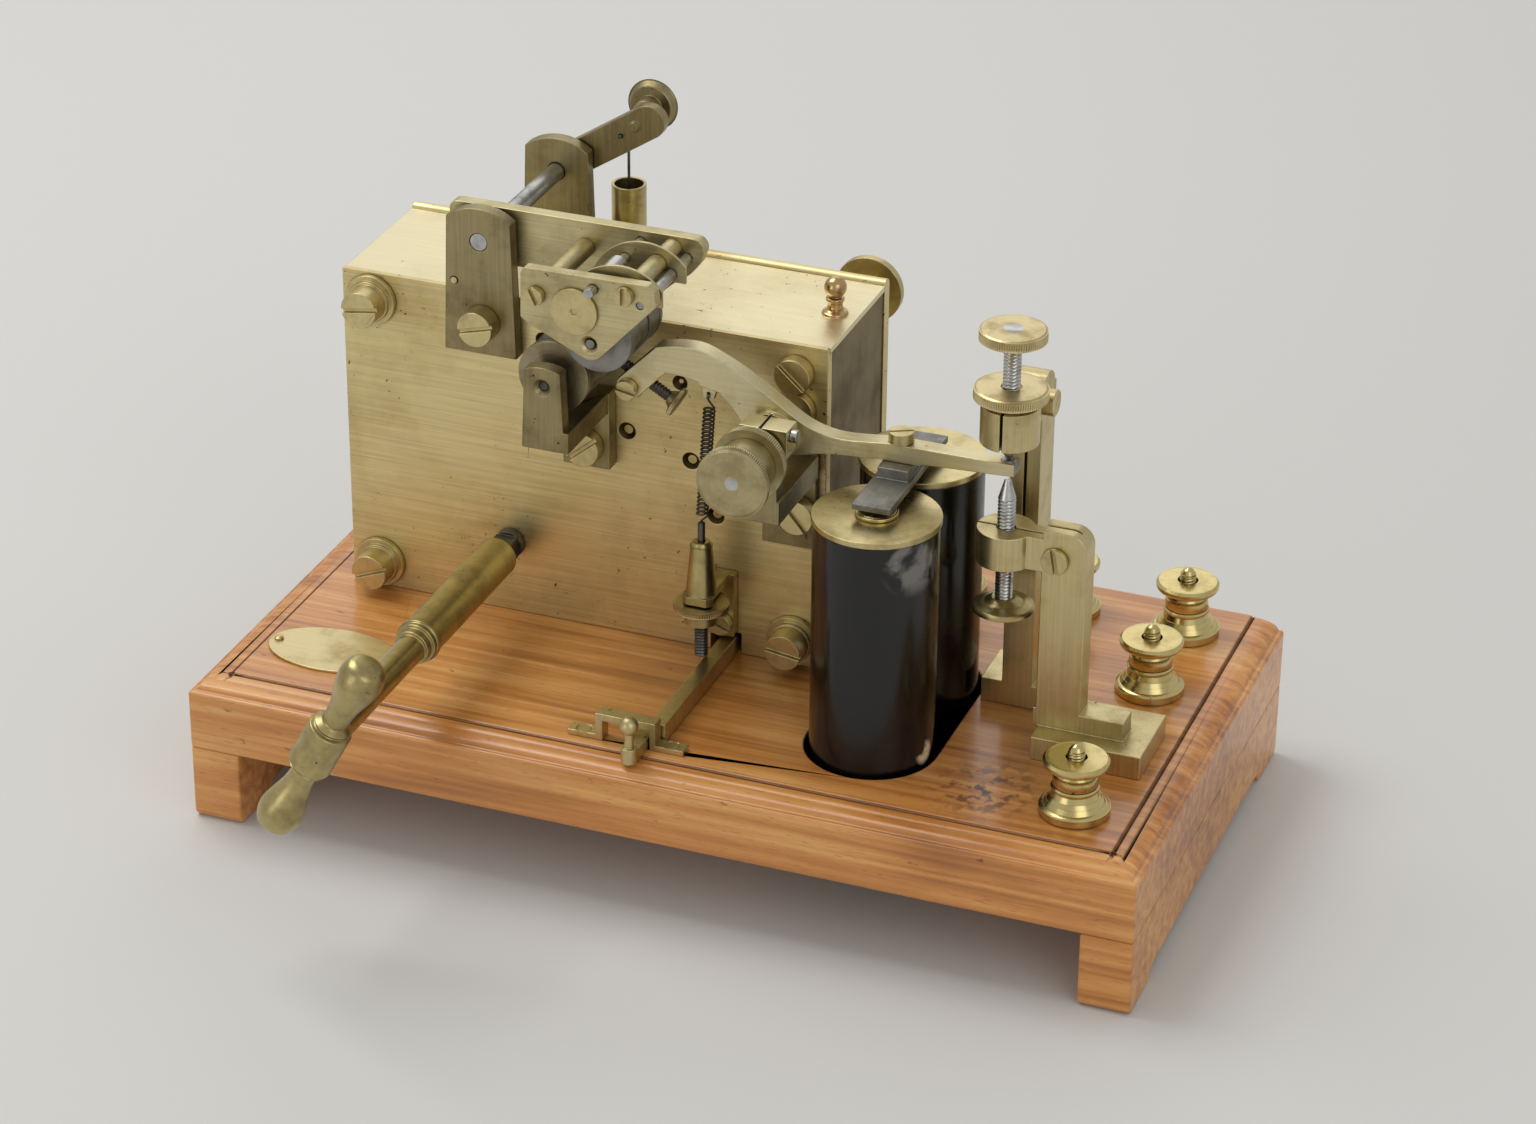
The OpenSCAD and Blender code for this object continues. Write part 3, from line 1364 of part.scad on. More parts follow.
module front_contact_stand() {
    y0 = stand_y0;
    y1 = stand_y1;
    top = lower_boss[1] + 3;
    slit = 0.8;
    color(brass) place() difference() {
        union() {
            block([stand_x0 + 1, stand_x0 + 37], [lever_y - 12, lever_y + 17], [z_board, z_board + 8.2]);
            block([stand_x0 - 1, stand_x0 + 29], [y0, y1], [z_board + 8.2 - e, z_board + 14.5]);
            block([stand_x0, stand_x1], [y0, y1], [z_board + 14, top - 6]);
            block([stand_x0, stand_x1 - 6], [y0, y1], [top - 7, top]);
            rod_y([stand_x1 - 6, top - 6], y0, y1, 6);
            block([contact_x, stand_x0 + e], [y0, y1], lower_boss);
            rod_z(contact_at, lower_boss[0], lower_boss[1], boss_r);
        }
        rod_z(contact_at, lower_boss[0] - 1, lower_boss[1] + 1, contact_r + fit);
        block([contact_x - 12, stand_x1 - 3], [lever_y - slit / 2, lever_y + slit / 2],
            [lower_boss[0] - 2, top + 1]);
        rod_y(stand_clamp, y0 - 1, y1 + 1, clamp_r + fit);
        rod_z(post_studs[0], z_board - 1, z_board + 6, screw_r + fit);
    }
}

module rear_contact_post() {
    slit = 0.8;
    x = [contact_x - post_half, contact_x + post_half];
    color(brass) place() difference() {
        union() {
            block([contact_x - 12, contact_x + 12.7], [post_y0, post_y0 + 20], [z_board, z_board + 8.5]);
            block(x, [post_y0, post_y1], [z_board + 8, upper_boss[1] - 4.4]);
            translate([x[0], post_y0 + 6, upper_boss[1] - 5]) rotate([0, 90, 0])
                cylinder(h = 2 * post_half, r = 6);
            block(x, [contact_at[1], post_y0 + 7], upper_boss);
            rod_z(contact_at, upper_boss[0], upper_boss[1], boss_r);
        }
        rod_z(contact_at, upper_boss[0] - 1, upper_boss[1] + 1, contact_r + fit);
        block([contact_x - slit / 2, contact_x + slit / 2], [contact_at[1] - 12, post_y0 + 3],
            [upper_boss[0] - 35, upper_boss[1] + 3]);
        rod_x(post_clamp, x[0] - 1, x[1] + 1, clamp_r + fit);
        rod_z(post_studs[1], z_board - 1, z_board + 6, screw_r + fit);
    }
}

module lower_contact_screw() {
    low = z_board + 45;
    color(brass) place() {
        rod_z(contact_at, low + 2 - e, lower_tip - long_tip, contact_r);
        cone_z(contact_at, lower_tip - long_tip - e, lower_tip, contact_r, cone_r);
        rod_z(contact_at, low, low + 2, 9.9);
        cone_z(contact_at, low + 2 - e, low + 4.6, 9, 3.6);
    }
}

module upper_contact_screw() {
    top = upper_boss[1] + 21.4;
    color(brass) place() {
        rod_z(contact_at, upper_tip + tip_l, top + e, contact_r);
        cone_z(contact_at, upper_tip, upper_tip + tip_l + e, cone_r, contact_r);
        rod_z(contact_at, top, top + 4, 10.6);
        cone_z(contact_at, top - 2, top + e, 3.8, 7);
    }
}

module contact_lock_nut() {
    z = upper_boss[1] + clear;
    color(brass) place() difference() {
        union() {
            rod_z(contact_at, z, z + 1.5, 7);
            rod_z(contact_at, z + 1.5 - e, z + 5.5, 11.7);
        }
        rod_z(contact_at, z - 1, z + 7, contact_r + fit);
    }
}

module terminal_posts() {
    color(brass) place() for (p = terminals) {
        translate([p[0], p[1], z_board]) rotate_extrude()
            polygon(concat([[0, 0], [terminal_r, 0], [terminal_r, 3.4], [terminal_r - 0.6, 4],
                [terminal_r - 1.6, 4]], curve([[terminal_r - 2.4, 5], [8.2, 7], [7.3, 9.6]], 4),
                [[7.3, 9.8], [8.1, 10.2], [8.1, terminal_h - 1.4], [7.4, terminal_h], [0, terminal_h]]));
        rod_z(p, z_board - 11, z_board + terminal_h + e, stud_r);
        rod_z(p, z_board + terminal_h - e, z_board + 22, stud_r);
        cone_z(p, z_board + 22 - e, z_board + 24, stud_r, 1.4);
    }
}

module thumb_nuts() {
    z = z_board + terminal_h;
    color(brass) place() for (p = terminals) difference() {
        union() {
            rod_z(p, z, z + 3.1, 7);
            rod_z(p, z + 3.1 - e, z + 6.1, nut_r);
        }
        rod_z(p, z - 1, z + 8, stud_r + fit);
    }
}

module stop_lever() {
    x = [stop[0] - stop_w / 2, stop[0] + stop_w / 2];
    fx = [ball_at[0] - 2.5, ball_at[0] + 2.5];
    finger = [fly_at[0] + brake_r + clear + 0.8, brake_y + 1];
    color(brass) place() difference() {
        union() {
            block(x, [bridge[3] + 0.5, stop[1]], [stop_z0, stop_z1]);
            block(fx, [ball_at[1], bridge[3] + 6], [stop_z0, stop_z0 + 3.9]);
            rod_z(ball_at, stop_z0, stop_z0 + 5.4, 2.6);
            rod_z(ball_at, stop_z0 + 5, stop_z0 + 12, 1.5);
            translate([ball_at[0], ball_at[1], stop_z0 + 13]) sphere(ball_r);
            rod_z(stop, stop_z0, stop_z1, 6);
            block([stop[0] - 1, finger[0] + 1], [stop[1], finger[1] + 0.8], [stop_z0, stop_z0 + 3]);
            rod_z(finger, stop_z0, fly_at[1] + 3, 0.8);
        }
        rod_z(stop, stop_z0 - 1, stop_z1 + 1, screw_r + fit);
    }
}

// ---- the model ---------------------------------------------------------------

base_board();
battens();
wood_screws();
name_plate();
front_plate();
rear_plate();
end_plates();
case_pillars();
case_screws();
frame_brackets();
feed_roller_bracket();
spring_tube();
lever_bracket();
lever_rear_bearing();
tension_bracket();
lever_bridge();
magnet_yoke();
magnet_cores();
coil_bobbins();
coil_windings();
front_contact_stand();
rear_contact_post();
terminal_posts();
thumb_nuts();
click();
mainspring();
tube_spring();
tension_spring();
top_lid();
winding_arbor();
winding_key();
mainspring_barrel();
second_wheel();
centre_wheel();
idler_wheel();
third_wheel();
fly();
feed_roller();
pressure_shaft();
pressure_rear_plate();
pressure_front_plate();
frame_pillars();
frame_screws();
guide_cheeks();
guide_pin();
rear_arm();
embossing_roller();
guide_roller();
writing_lever();
lever_arbor();
armature();
lever_screws();
stylus();
bearing_screw();
tension_nut();
tension_rod();
stop_lever();
upper_contact_screw();
contact_lock_nut();
lower_contact_screw();
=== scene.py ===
"""Morse tape register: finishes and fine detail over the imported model, in its own frame.

Sizes in this file are millimetres in the drawing's frame (x from the board's left edge, y from its
front edge, z up from the table); at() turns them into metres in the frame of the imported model.
"""

import json
import logging
import math
from dataclasses import dataclass
from enum import Enum
from typing import Any, Callable, Optional, Sequence

import bmesh
import bpy
from mathutils import Matrix, Vector

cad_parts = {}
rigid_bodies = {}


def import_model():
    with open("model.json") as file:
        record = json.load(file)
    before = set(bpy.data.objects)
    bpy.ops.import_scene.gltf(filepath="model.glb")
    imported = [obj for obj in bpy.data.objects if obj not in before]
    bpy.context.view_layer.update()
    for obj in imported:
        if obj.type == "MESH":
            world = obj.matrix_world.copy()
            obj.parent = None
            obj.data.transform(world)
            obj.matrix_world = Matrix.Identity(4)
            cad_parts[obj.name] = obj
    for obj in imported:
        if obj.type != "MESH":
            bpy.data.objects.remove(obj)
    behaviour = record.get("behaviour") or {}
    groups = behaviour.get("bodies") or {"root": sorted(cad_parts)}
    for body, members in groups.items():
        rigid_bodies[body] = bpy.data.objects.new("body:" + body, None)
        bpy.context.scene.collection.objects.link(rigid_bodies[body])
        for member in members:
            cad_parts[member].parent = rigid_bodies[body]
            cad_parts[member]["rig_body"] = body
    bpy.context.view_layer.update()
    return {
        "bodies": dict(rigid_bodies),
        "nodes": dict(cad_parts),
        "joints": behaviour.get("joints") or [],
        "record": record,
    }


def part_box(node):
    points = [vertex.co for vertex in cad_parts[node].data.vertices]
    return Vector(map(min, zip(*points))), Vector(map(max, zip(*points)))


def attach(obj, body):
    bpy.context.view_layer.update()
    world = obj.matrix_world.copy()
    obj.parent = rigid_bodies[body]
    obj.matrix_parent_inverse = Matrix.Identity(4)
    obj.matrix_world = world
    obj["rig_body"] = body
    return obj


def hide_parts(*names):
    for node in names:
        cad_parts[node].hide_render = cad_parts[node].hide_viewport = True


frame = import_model()

log = logging.getLogger("register")

MM = 0.001
HALF_LENGTH = 160.0
HALF_DEPTH = 52.375
BOARD_TOP = 50.8
CASE_TOP = 166.0
LEVER_PIVOT = (178.0, 143.5)
LEVER_Y = 66.2
CONTACT = (254.3, 66.2)
ROD_X = 152.7
HEAD_DISC_AT = (118.4, 183.5)
FEED_AT = (106.8, 154.8)
UP = Vector((0, 0, 1))

Tree = bpy.types.NodeTree
Socket = bpy.types.NodeSocket


def at(x: float, y: float, z: float) -> Vector:
    """A point of the drawing, in millimetres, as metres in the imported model's frame."""
    return Vector(((x - HALF_LENGTH) * MM, (y - HALF_DEPTH) * MM, z * MM))


def linear(code: str, alpha: float = 1.0) -> tuple[float, float, float, float]:
    """Turns an sRGB hex colour into linear RGBA.

    Args:
        code: the colour as "#rrggbb".
        alpha: the fourth value.

    Returns:
        The colour as Blender's nodes take it.
    """
    parts = [int(code[i : i + 2], 16) / 255 for i in (1, 3, 5)]
    r, g, b = (c / 12.92 if c <= 0.04045 else ((c + 0.055) / 1.055) ** 2.4 for c in parts)
    return (r, g, b, alpha)


def add(
    tree: Tree,
    kind: str,
    links: Optional[dict[Any, Any]] = None,
    **settings: Any,
) -> bpy.types.Node:
    """Adds one node with its settings and links.

    Args:
        tree: the node tree.
        kind: the node's type, such as "ShaderNodeMath".
        links: for each input, by name or number, the output that feeds it or its value.
        settings: the node's own properties.

    Returns:
        The new node.
    """
    made = tree.nodes.new(kind)
    for name, value in settings.items():
        setattr(made, name, value)
    for name, source in (links or {}).items():
        if isinstance(source, Socket):
            tree.links.new(source, made.inputs[name])
        else:
            made.inputs[name].default_value = source
    return made


class Grain(Enum):
    """Which way the maker's file, emery or lathe tool ran over a surface."""

    ALONG_X = "along x"
    ALONG_Y = "along y"
    ALONG_Z = "along z"
    TURNED_Y = "turned about y"
    TURNED_Z = "turned about z"
    NONE = "none"


# cycles per metre along and across the marks of each grain
GRAIN_SCALES = {
    Grain.ALONG_X: (30.0, 1500.0, 1500.0),
    Grain.ALONG_Y: (1500.0, 30.0, 1500.0),
    Grain.ALONG_Z: (1500.0, 1500.0, 30.0),
    Grain.NONE: (500.0, 500.0, 500.0),
}


class Nodes:
    """A new material's tree, with short calls for the nodes that repeat."""

    def __init__(self, name: str) -> None:
        """Makes the material.

        Args:
            name: the material's name.
        """
        self.material = bpy.data.materials.new(name)
        self.material.use_nodes = True
        self.tree = self.material.node_tree
        self.shader = self.tree.nodes["Principled BSDF"]
        self.place = self.add("TexCoord").outputs["Object"]

    def add(self, kind: str, inputs: Optional[dict[Any, Any]] = None, **settings: Any) -> bpy.types.Node:
        """Adds a node of a kind, with its inputs and settings."""
        return add(self.tree, "ShaderNode" + kind, inputs, **settings)

    def noise(
        self,
        scale: float,
        detail: float,
        place: Optional[Socket] = None,
        roughness: float = 0.5,
        distortion: float = 0.0,
    ) -> Socket:
        """Noise about 0.5, at a scale in cycles per metre."""
        inputs = {"Vector": self.place if place is None else place, "Scale": scale, "Detail": detail}
        inputs |= {"Roughness": roughness, "Distortion": distortion}
        return self.add("TexNoise", inputs).outputs["Fac"]

    def stretched(self, scale: tuple[float, float, float]) -> Socket:
        """The point on the object, scaled by cycles per metre on each axis."""
        return self.add("Mapping", {"Vector": self.place, "Scale": scale}).outputs[0]

    def span(
        self,
        value: Socket,
        low: float,
        high: float,
        to_low: float = 0.0,
        to_high: float = 1.0,
        **settings: Any,
    ) -> Socket:
        """Maps the range from low to high to another range."""
        inputs = {"Value": value, "From Min": low, "From Max": high, "To Min": to_low, "To Max": to_high}
        return self.add("MapRange", inputs, **settings).outputs[0]

    def over(self, mask: Socket, tone: Any, code: str) -> Socket:
        """Lays a colour over another by a mask."""
        return self.add("Mix", {"Factor": mask, 6: tone, 7: linear(code)}, data_type="RGBA").outputs[2]

    def scaled(self, value: Socket, factor: float, plus: Any) -> Socket:
        """Multiplies a value and adds to it."""
        return self.add("Math", {0: value, 1: factor, 2: plus}, operation="MULTIPLY_ADD").outputs[0]

    def both(self, one: Socket, other: Socket) -> Socket:
        """The mask where two masks meet."""
        return self.add("Math", {0: one, 1: other}, operation="MULTIPLY", use_clamp=True).outputs[0]

    def away(self, spot: tuple[float, float, float]) -> Socket:
        """The distance from a spot given in millimetres."""
        return self.add("VectorMath", {0: self.place, 1: at(*spot)}, operation="DISTANCE").outputs["Value"]

    def corners(self, reach: float, **settings: Any) -> Socket:
        """How open the surface is, low in corners and slots within a reach."""
        return self.add("AmbientOcclusion", {"Distance": reach}, samples=4, **settings).outputs["AO"]

    def finished(
        self, tone: Socket, rough: Socket, height: Socket, strength: float, distance: float
    ) -> bpy.types.Material:
        """Joins the colour, the roughness and a relief to the shader, and gives the material."""
        relief = self.add("Bump", {"Height": height, "Strength": strength, "Distance": distance})
        ends = {"Base Color": tone, "Roughness": rough, "Normal": relief.outputs[0]}
        for end, socket in ends.items():
            self.tree.links.new(socket, self.shader.inputs[end])
        return self.material


@dataclass(frozen=True)
class WornMetal:
    """A metal rubbed or turned to a grain, with patina in patches, pits, and painted shade with some grime in
    its corners.
    """

    name: str
    bright: str
    tarnish: str
    roughness: float
    patches: float = 0.5
    patch_mm: float = 30.0
    grain: Grain = Grain.NONE
    centre: tuple[float, float, float] = (0.0, 0.0, 0.0)
    streaks: float = 0.25
    pits: float = 0.0
    # strength and reach of the painted shade, with some grime, that darkens corners and slots
    shade_and_grime: float = 0.6
    shade_and_grime_mm: float = 1.2
    bump: float = 0.15
    # colour of the pits, and of the painted shade in corners
    pit_and_shade_colour: str = "#2e2413"

    def build(self) -> bpy.types.Material:
        """Builds the material, for a slot of one or more pieces."""
        nodes = Nodes(self.name)
        marks = self._marks(nodes)
        patch = nodes.noise(1000 / self.patch_mm, 5.0, roughness=0.62)
        spread = 0.3 * self.patches
        share = nodes.span(patch, 0.54 - spread, 0.9 - spread, interpolation_type="SMOOTHSTEP")
        tone = nodes.over(share, linear(self.bright), self.tarnish)
        line = nodes.span(marks, 0.3, 0.7, 1 - self.streaks)
        tone = nodes.add(
            "Mix", {"Factor": 1.0, 6: tone, 7: line}, data_type="RGBA", blend_type="MULTIPLY"
        ).outputs[2]
        if self.pits:
            tone = nodes.over(self._pitted(nodes, patch), tone, self.pit_and_shade_colour)
        # painted shade, with some grime, darkening corners, slots and joins between pieces by ambient
        # occlusion
        if self.shade_and_grime:
            shade_and_grime = nodes.span(nodes.corners(self.shade_and_grime_mm * MM), 0.25, 0.8, self.shade_and_grime, 0.0)
            tone = nodes.over(shade_and_grime, tone, self.pit_and_shade_colour)
        rough = nodes.scaled(marks, 0.12, nodes.scaled(share, 0.14, self.roughness))
        nodes.shader.inputs["Metallic"].default_value = 1.0
        return nodes.finished(tone, rough, marks, self.bump, 0.00012)

    def _marks(self, nodes: Nodes) -> Socket:
        """Tool marks from 0 to 1: fine lines along the grain, or rings about the lathe's axis."""
        if self.grain in (Grain.TURNED_Y, Grain.TURNED_Z):
            keep = (1, 0, 1) if self.grain is Grain.TURNED_Y else (1, 1, 0)
            off = nodes.add("VectorMath", {0: nodes.place, 1: at(*self.centre)}, operation="SUBTRACT")
            flat = nodes.add("VectorMath", {0: off.outputs[0], 1: keep}, operation="MULTIPLY")
            radius = nodes.add("VectorMath", {0: flat.outputs[0]}, operation="LENGTH")
            ring = nodes.add("CombineXYZ", {"X": radius.outputs["Value"]})
            return nodes.noise(1400.0, 2.0, ring.outputs[0])
        return nodes.noise(1.0, 3.0, nodes.stretched(GRAIN_SCALES[self.grain]))

    def _pitted(self, nodes: Nodes, patch: Socket) -> Socket:
        """The mask of small dark spots of corrosion, denser where the patina is."""
        lot = nodes.scaled(patch, 0.3, nodes.noise(420.0, 3.0, roughness=0.7))
        ease = 0.06 * self.pits
        return nodes.span(lot, 0.87 - ease, 0.93 - ease)


@dataclass(frozen=True)
class PolishedWood:
    """French-polished mahogany: shellac over open grain along X gives a warm glow under a soft gloss."""

    name: str = "french_polished_mahogany"
    pale: str = "#dfa560"
    mid: str = "#c98540"
    deep: str = "#9d6029"
    # dark colour of the stains and scars, and of the painted shade in the grooves
    stain_and_groove_shade: str = "#43200f"
    grain_mm: float = 3.5
    figure_mm: float = 28.0
    stain_at: tuple[float, float, float] = (262.0, 31.0, BOARD_TOP)
    stain_mm: float = 26.0

    def build(self) -> bpy.types.Material:
        """Builds the wood of the board and its battens."""
        nodes = Nodes(self.name)
        fibre = self._grain(nodes, (1000 / 120, 1000 / self.grain_mm, 1000 / self.grain_mm), 4.0)
        figure = self._grain(nodes, (1000 / 110, 1000 / self.figure_mm, 1000 / self.figure_mm), 3.0)
        pore = self._grain(nodes, (1000 / 5, 1000 / 0.5, 1000 / 0.5), 2.0)
        blend = nodes.scaled(figure, 0.45, nodes.scaled(fibre, 0.55, 0.0))
        ramp = nodes.add("ValToRGB", {"Fac": blend})
        ramp.color_ramp.elements[0].position = 0.36
        ramp.color_ramp.elements[0].color = linear(self.deep)
        ramp.color_ramp.elements[1].position = 0.64
        ramp.color_ramp.elements[1].color = linear(self.pale)
        middle = ramp.color_ramp.elements.new(0.5)
        middle.color = linear(self.mid)
        # sparse purple-brown dents and scratches
        scars = self._grain(nodes, (130.0, 320.0, 320.0), 4.0)
        tone = nodes.over(nodes.span(pore, 0.58, 0.72, to_high=0.5), ramp.outputs[0], self.deep)
        tone = nodes.over(self._stain(nodes), tone, self.stain_and_groove_shade)
        tone = nodes.over(nodes.span(scars, 0.70, 0.77, to_high=0.7), tone, self.stain_and_groove_shade)
        # painted shade darkening the grooves of the moulding, by ambient occlusion
        groove_shade = nodes.span(nodes.corners(0.0032, only_local=True), 0.45, 0.9, 0.8, 0.0)
        tone = nodes.over(groove_shade, tone, self.stain_and_groove_shade)
        for end, value in {"IOR": 1.5, "Coat Weight": 0.45, "Coat Roughness": 0.14}.items():
            nodes.shader.inputs[end].default_value = value
        return nodes.finished(tone, nodes.scaled(figure, 0.3, 0.2), fibre, 0.25, 0.0003)

    def _grain(self, nodes: Nodes, scale: tuple[float, float, float], detail: float) -> Socket:
        """Noise stretched to a scale in cycles per metre."""
        return nodes.noise(1.0, detail, nodes.stretched(scale), distortion=0.4)

    def _stain(self, nodes: Nodes) -> Socket:
        """The mask of the acid spots on the board in front of the contacts."""
        near = nodes.span(
            nodes.away(self.stain_at), self.stain_mm * MM, 0.0, interpolation_type="SMOOTHSTEP"
        )
        return nodes.both(near, nodes.span(nodes.noise(260.0, 5.0), 0.5, 0.62))


@dataclass(frozen=True)
class BlackWrap:
    """Shellacked black wrap over the coils: glossy, with scuffs that show grey and one chip."""

    name: str = "black_shellacked_wrap"
    body: str = "#070606"
    scuff: str = "#6f6c68"
    chip: str = "#d3bf9d"
    scuff_at: tuple[float, float, float] = (236.0, 34.0, 125.5)
    scuff_mm: float = 13.0
    chip_at: tuple[float, float, float] = (239.0, 39.5, 55.0)
    chip_mm: float = 4.6

    def build(self) -> bpy.types.Material:
        """Builds the wrap of the coils."""
        nodes = Nodes(self.name)
        cloud = nodes.noise(90.0, 6.0, distortion=1.2)
        wide = nodes.noise(28.0, 4.0)
        scuffed = self._near(nodes, cloud, self.scuff_at, self.scuff_mm, 0.47)
        chipped = self._near(nodes, cloud, self.chip_at, self.chip_mm, 0.36)
        tone = nodes.over(scuffed, linear(self.body), self.scuff)
        tone = nodes.over(chipped, tone, self.chip)
        return nodes.finished(tone, nodes.span(wide, 0.35, 0.7, 0.12, 0.34), wide, 0.25, 0.0015)

    def _near(
        self, nodes: Nodes, cloud: Socket, spot: tuple[float, float, float], reach: float, floor: float
    ) -> Socket:
        """The mask of a ragged mark round one spot.

        Args:
            nodes: the material's nodes.
            cloud: the noise that breaks the mark up.
            spot: the mark's centre.
            reach: how far it goes, in millimetres.
            floor: the noise value where it starts.
        """
        near = nodes.span(nodes.away(spot), reach * MM, 0.6 * reach * MM)
        return nodes.both(near, nodes.span(cloud, floor, floor + 0.14))


class Finish(Enum):
    """The finishes of the register, each on the material it is made of."""

    # cast and rolled brass sheet, rubbed with emery along X, lacquered and aged: dull gold with faint lines
    CASE_SHEET = WornMetal(
        "aged_lacquered_brass_sheet", "#e3d29c", "#cbb67f", 0.34, 0.5, 40.0, Grain.ALONG_X, streaks=0.2,
        pits=1.0, shade_and_grime=0.55, bump=0.22)
    # the lid is painted paler and lighter than the case sheet, as the light that falls on the top: pale gold
    # with faint scratches
    LID = WornMetal(
        "painted_lit_brass_lid", "#e3d7b0", "#d6c89c", 0.30, 0.3, 40.0, Grain.ALONG_X, streaks=0.1,
        pits=0.45, shade_and_grime=0.45, bump=0.14)
    # the end sheet is painted dark as the shade on that side of the case, grain upright: olive brown
    END_SHEET = WornMetal(
        "painted_shade_brass_end", "#8b7b53", "#6c5e40", 0.42, 0.6, 30.0, Grain.ALONG_Z, streaks=0.3,
        pits=0.5, shade_and_grime=0.6, bump=0.2)
    # sawn and filed plates that have gone olive, with grain upright
    BRACKET = WornMetal(
        "olive_aged_brass_plate", "#a3966f", "#857856", 0.34, 0.55, 16.0, Grain.ALONG_Z, streaks=0.22,
        pits=0.6, shade_and_grime=0.6, bump=0.16)
    # filed plates of the roller frame: grain along X, lighter than the brackets
    HEAD_PLATE = WornMetal(
        "filed_brass_plate", "#d0c395", "#b0a37a", 0.33, 0.5, 18.0, Grain.ALONG_X, streaks=0.2,
        pits=0.6, shade_and_grime=0.55, bump=0.16)
    # turned screw heads and washers with old polish in the slots, darkened there by painted shade
    TURNED = WornMetal(
        "turned_brass", "#d2c28f", "#b5a373", 0.28, 0.45, 9.0, Grain.NONE, streaks=0.12, pits=0.35,
        shade_and_grime=0.75, shade_and_grime_mm=1.0, bump=0.08)
    # draw-filed lever, pale olive
    LEVER = WornMetal(
        "draw_filed_brass", "#d8cda3", "#bdb085", 0.30, 0.4, 16.0, Grain.ALONG_X, streaks=0.15,
        pits=0.45, shade_and_grime=0.5, bump=0.12)
    # turned and buffed terminals, nearly bright
    TERMINAL = WornMetal(
        "buffed_turned_brass", "#d6c488", "#bda870", 0.17, 0.35, 10.0, Grain.NONE, streaks=0.06,
        pits=0.2, shade_and_grime=0.7, shade_and_grime_mm=1.4, bump=0.04)
    # cast stand, rubbed along its height
    STAND = WornMetal(
        "rubbed_cast_brass", "#d6c694", "#b9a877", 0.30, 0.45, 14.0, Grain.ALONG_Z, streaks=0.18,
        pits=0.5, shade_and_grime=0.6, bump=0.14)
    # key turned from brass rod, worn by hands: olive with bright spots
    KEY = WornMetal(
        "handled_turned_brass", "#bfae79", "#96875c", 0.24, 0.5, 12.0, Grain.NONE, streaks=0.1, pits=0.5,
        shade_and_grime=0.6, bump=0.06)
    # knurled discs, warm, with painted shade and some grime between the ridges
    KNURLED = WornMetal(
        "knurled_turned_brass", "#c1b184", "#9c8e64", 0.27, 0.5, 9.0, Grain.NONE, streaks=0.1, pits=0.3,
        shade_and_grime=0.7, shade_and_grime_mm=0.7, bump=0.06)
    PLATE = WornMetal(
        "stamped_pale_brass", "#dac999", "#b8a473", 0.30, 0.4, 12.0, Grain.ALONG_X, streaks=0.1, pits=0.4,
        shade_and_grime=0.55, bump=0.08)
    CHEEK = WornMetal(
        "lacquered_brass_cheek", "#d3c28e", "#a29262", 0.22, 0.5, 14.0, Grain.NONE, streaks=0.08, pits=0.4,
        shade_and_grime=0.5, bump=0.05)
    KNOB = WornMetal(
        "coppery_turned_brass", "#c9a878", "#a08259", 0.16, 0.4, 6.0, Grain.NONE, streaks=0.05, shade_and_grime=0.5,
        bump=0.03)
    # polished silver steel
    STEEL = WornMetal(
        "polished_steel", "#c4c4c2", "#8a8884", 0.22, 0.4, 8.0, Grain.ALONG_Y, streaks=0.12, pits=0.3,
        shade_and_grime=0.6, bump=0.08, pit_and_shade_colour="#1d1a17")
    # soft iron armature, ground along its length
    ARMATURE = WornMetal(
        "ground_soft_iron", "#97958f", "#6f6b63", 0.34, 0.5, 10.0, Grain.ALONG_Y, streaks=0.2, pits=0.4,
        shade_and_grime=0.5, bump=0.14, pit_and_shade_colour="#1d1a17")
    # oiled steel of springs, threads and rollers
    DARK_STEEL = WornMetal(
        "oiled_dark_steel", "#6f6d69", "#45413b", 0.34, 0.5, 8.0, Grain.NONE, streaks=0.15, pits=0.4,
        shade_and_grime=0.7, bump=0.08, pit_and_shade_colour="#14110e")
    THREAD = WornMetal(
        "cut_steel_thread", "#c9c8c5", "#86837d", 0.2, 0.35, 6.0, Grain.NONE, streaks=0.08, shade_and_grime=0.9,
        shade_and_grime_mm=0.6, bump=0.03, pit_and_shade_colour="#1d1a17")
    IRON = WornMetal(
        "blackened_iron", "#5b5752", "#3a3530", 0.5, 0.5, 12.0, Grain.NONE, streaks=0.2, pits=0.5,
        shade_and_grime=0.6, bump=0.2, pit_and_shade_colour="#14110e")
    WHEEL = WornMetal(
        "cut_brass_wheel", "#c5b177", "#948154", 0.25, 0.4, 14.0, Grain.NONE, streaks=0.1, shade_and_grime=0.5,
        bump=0.05)
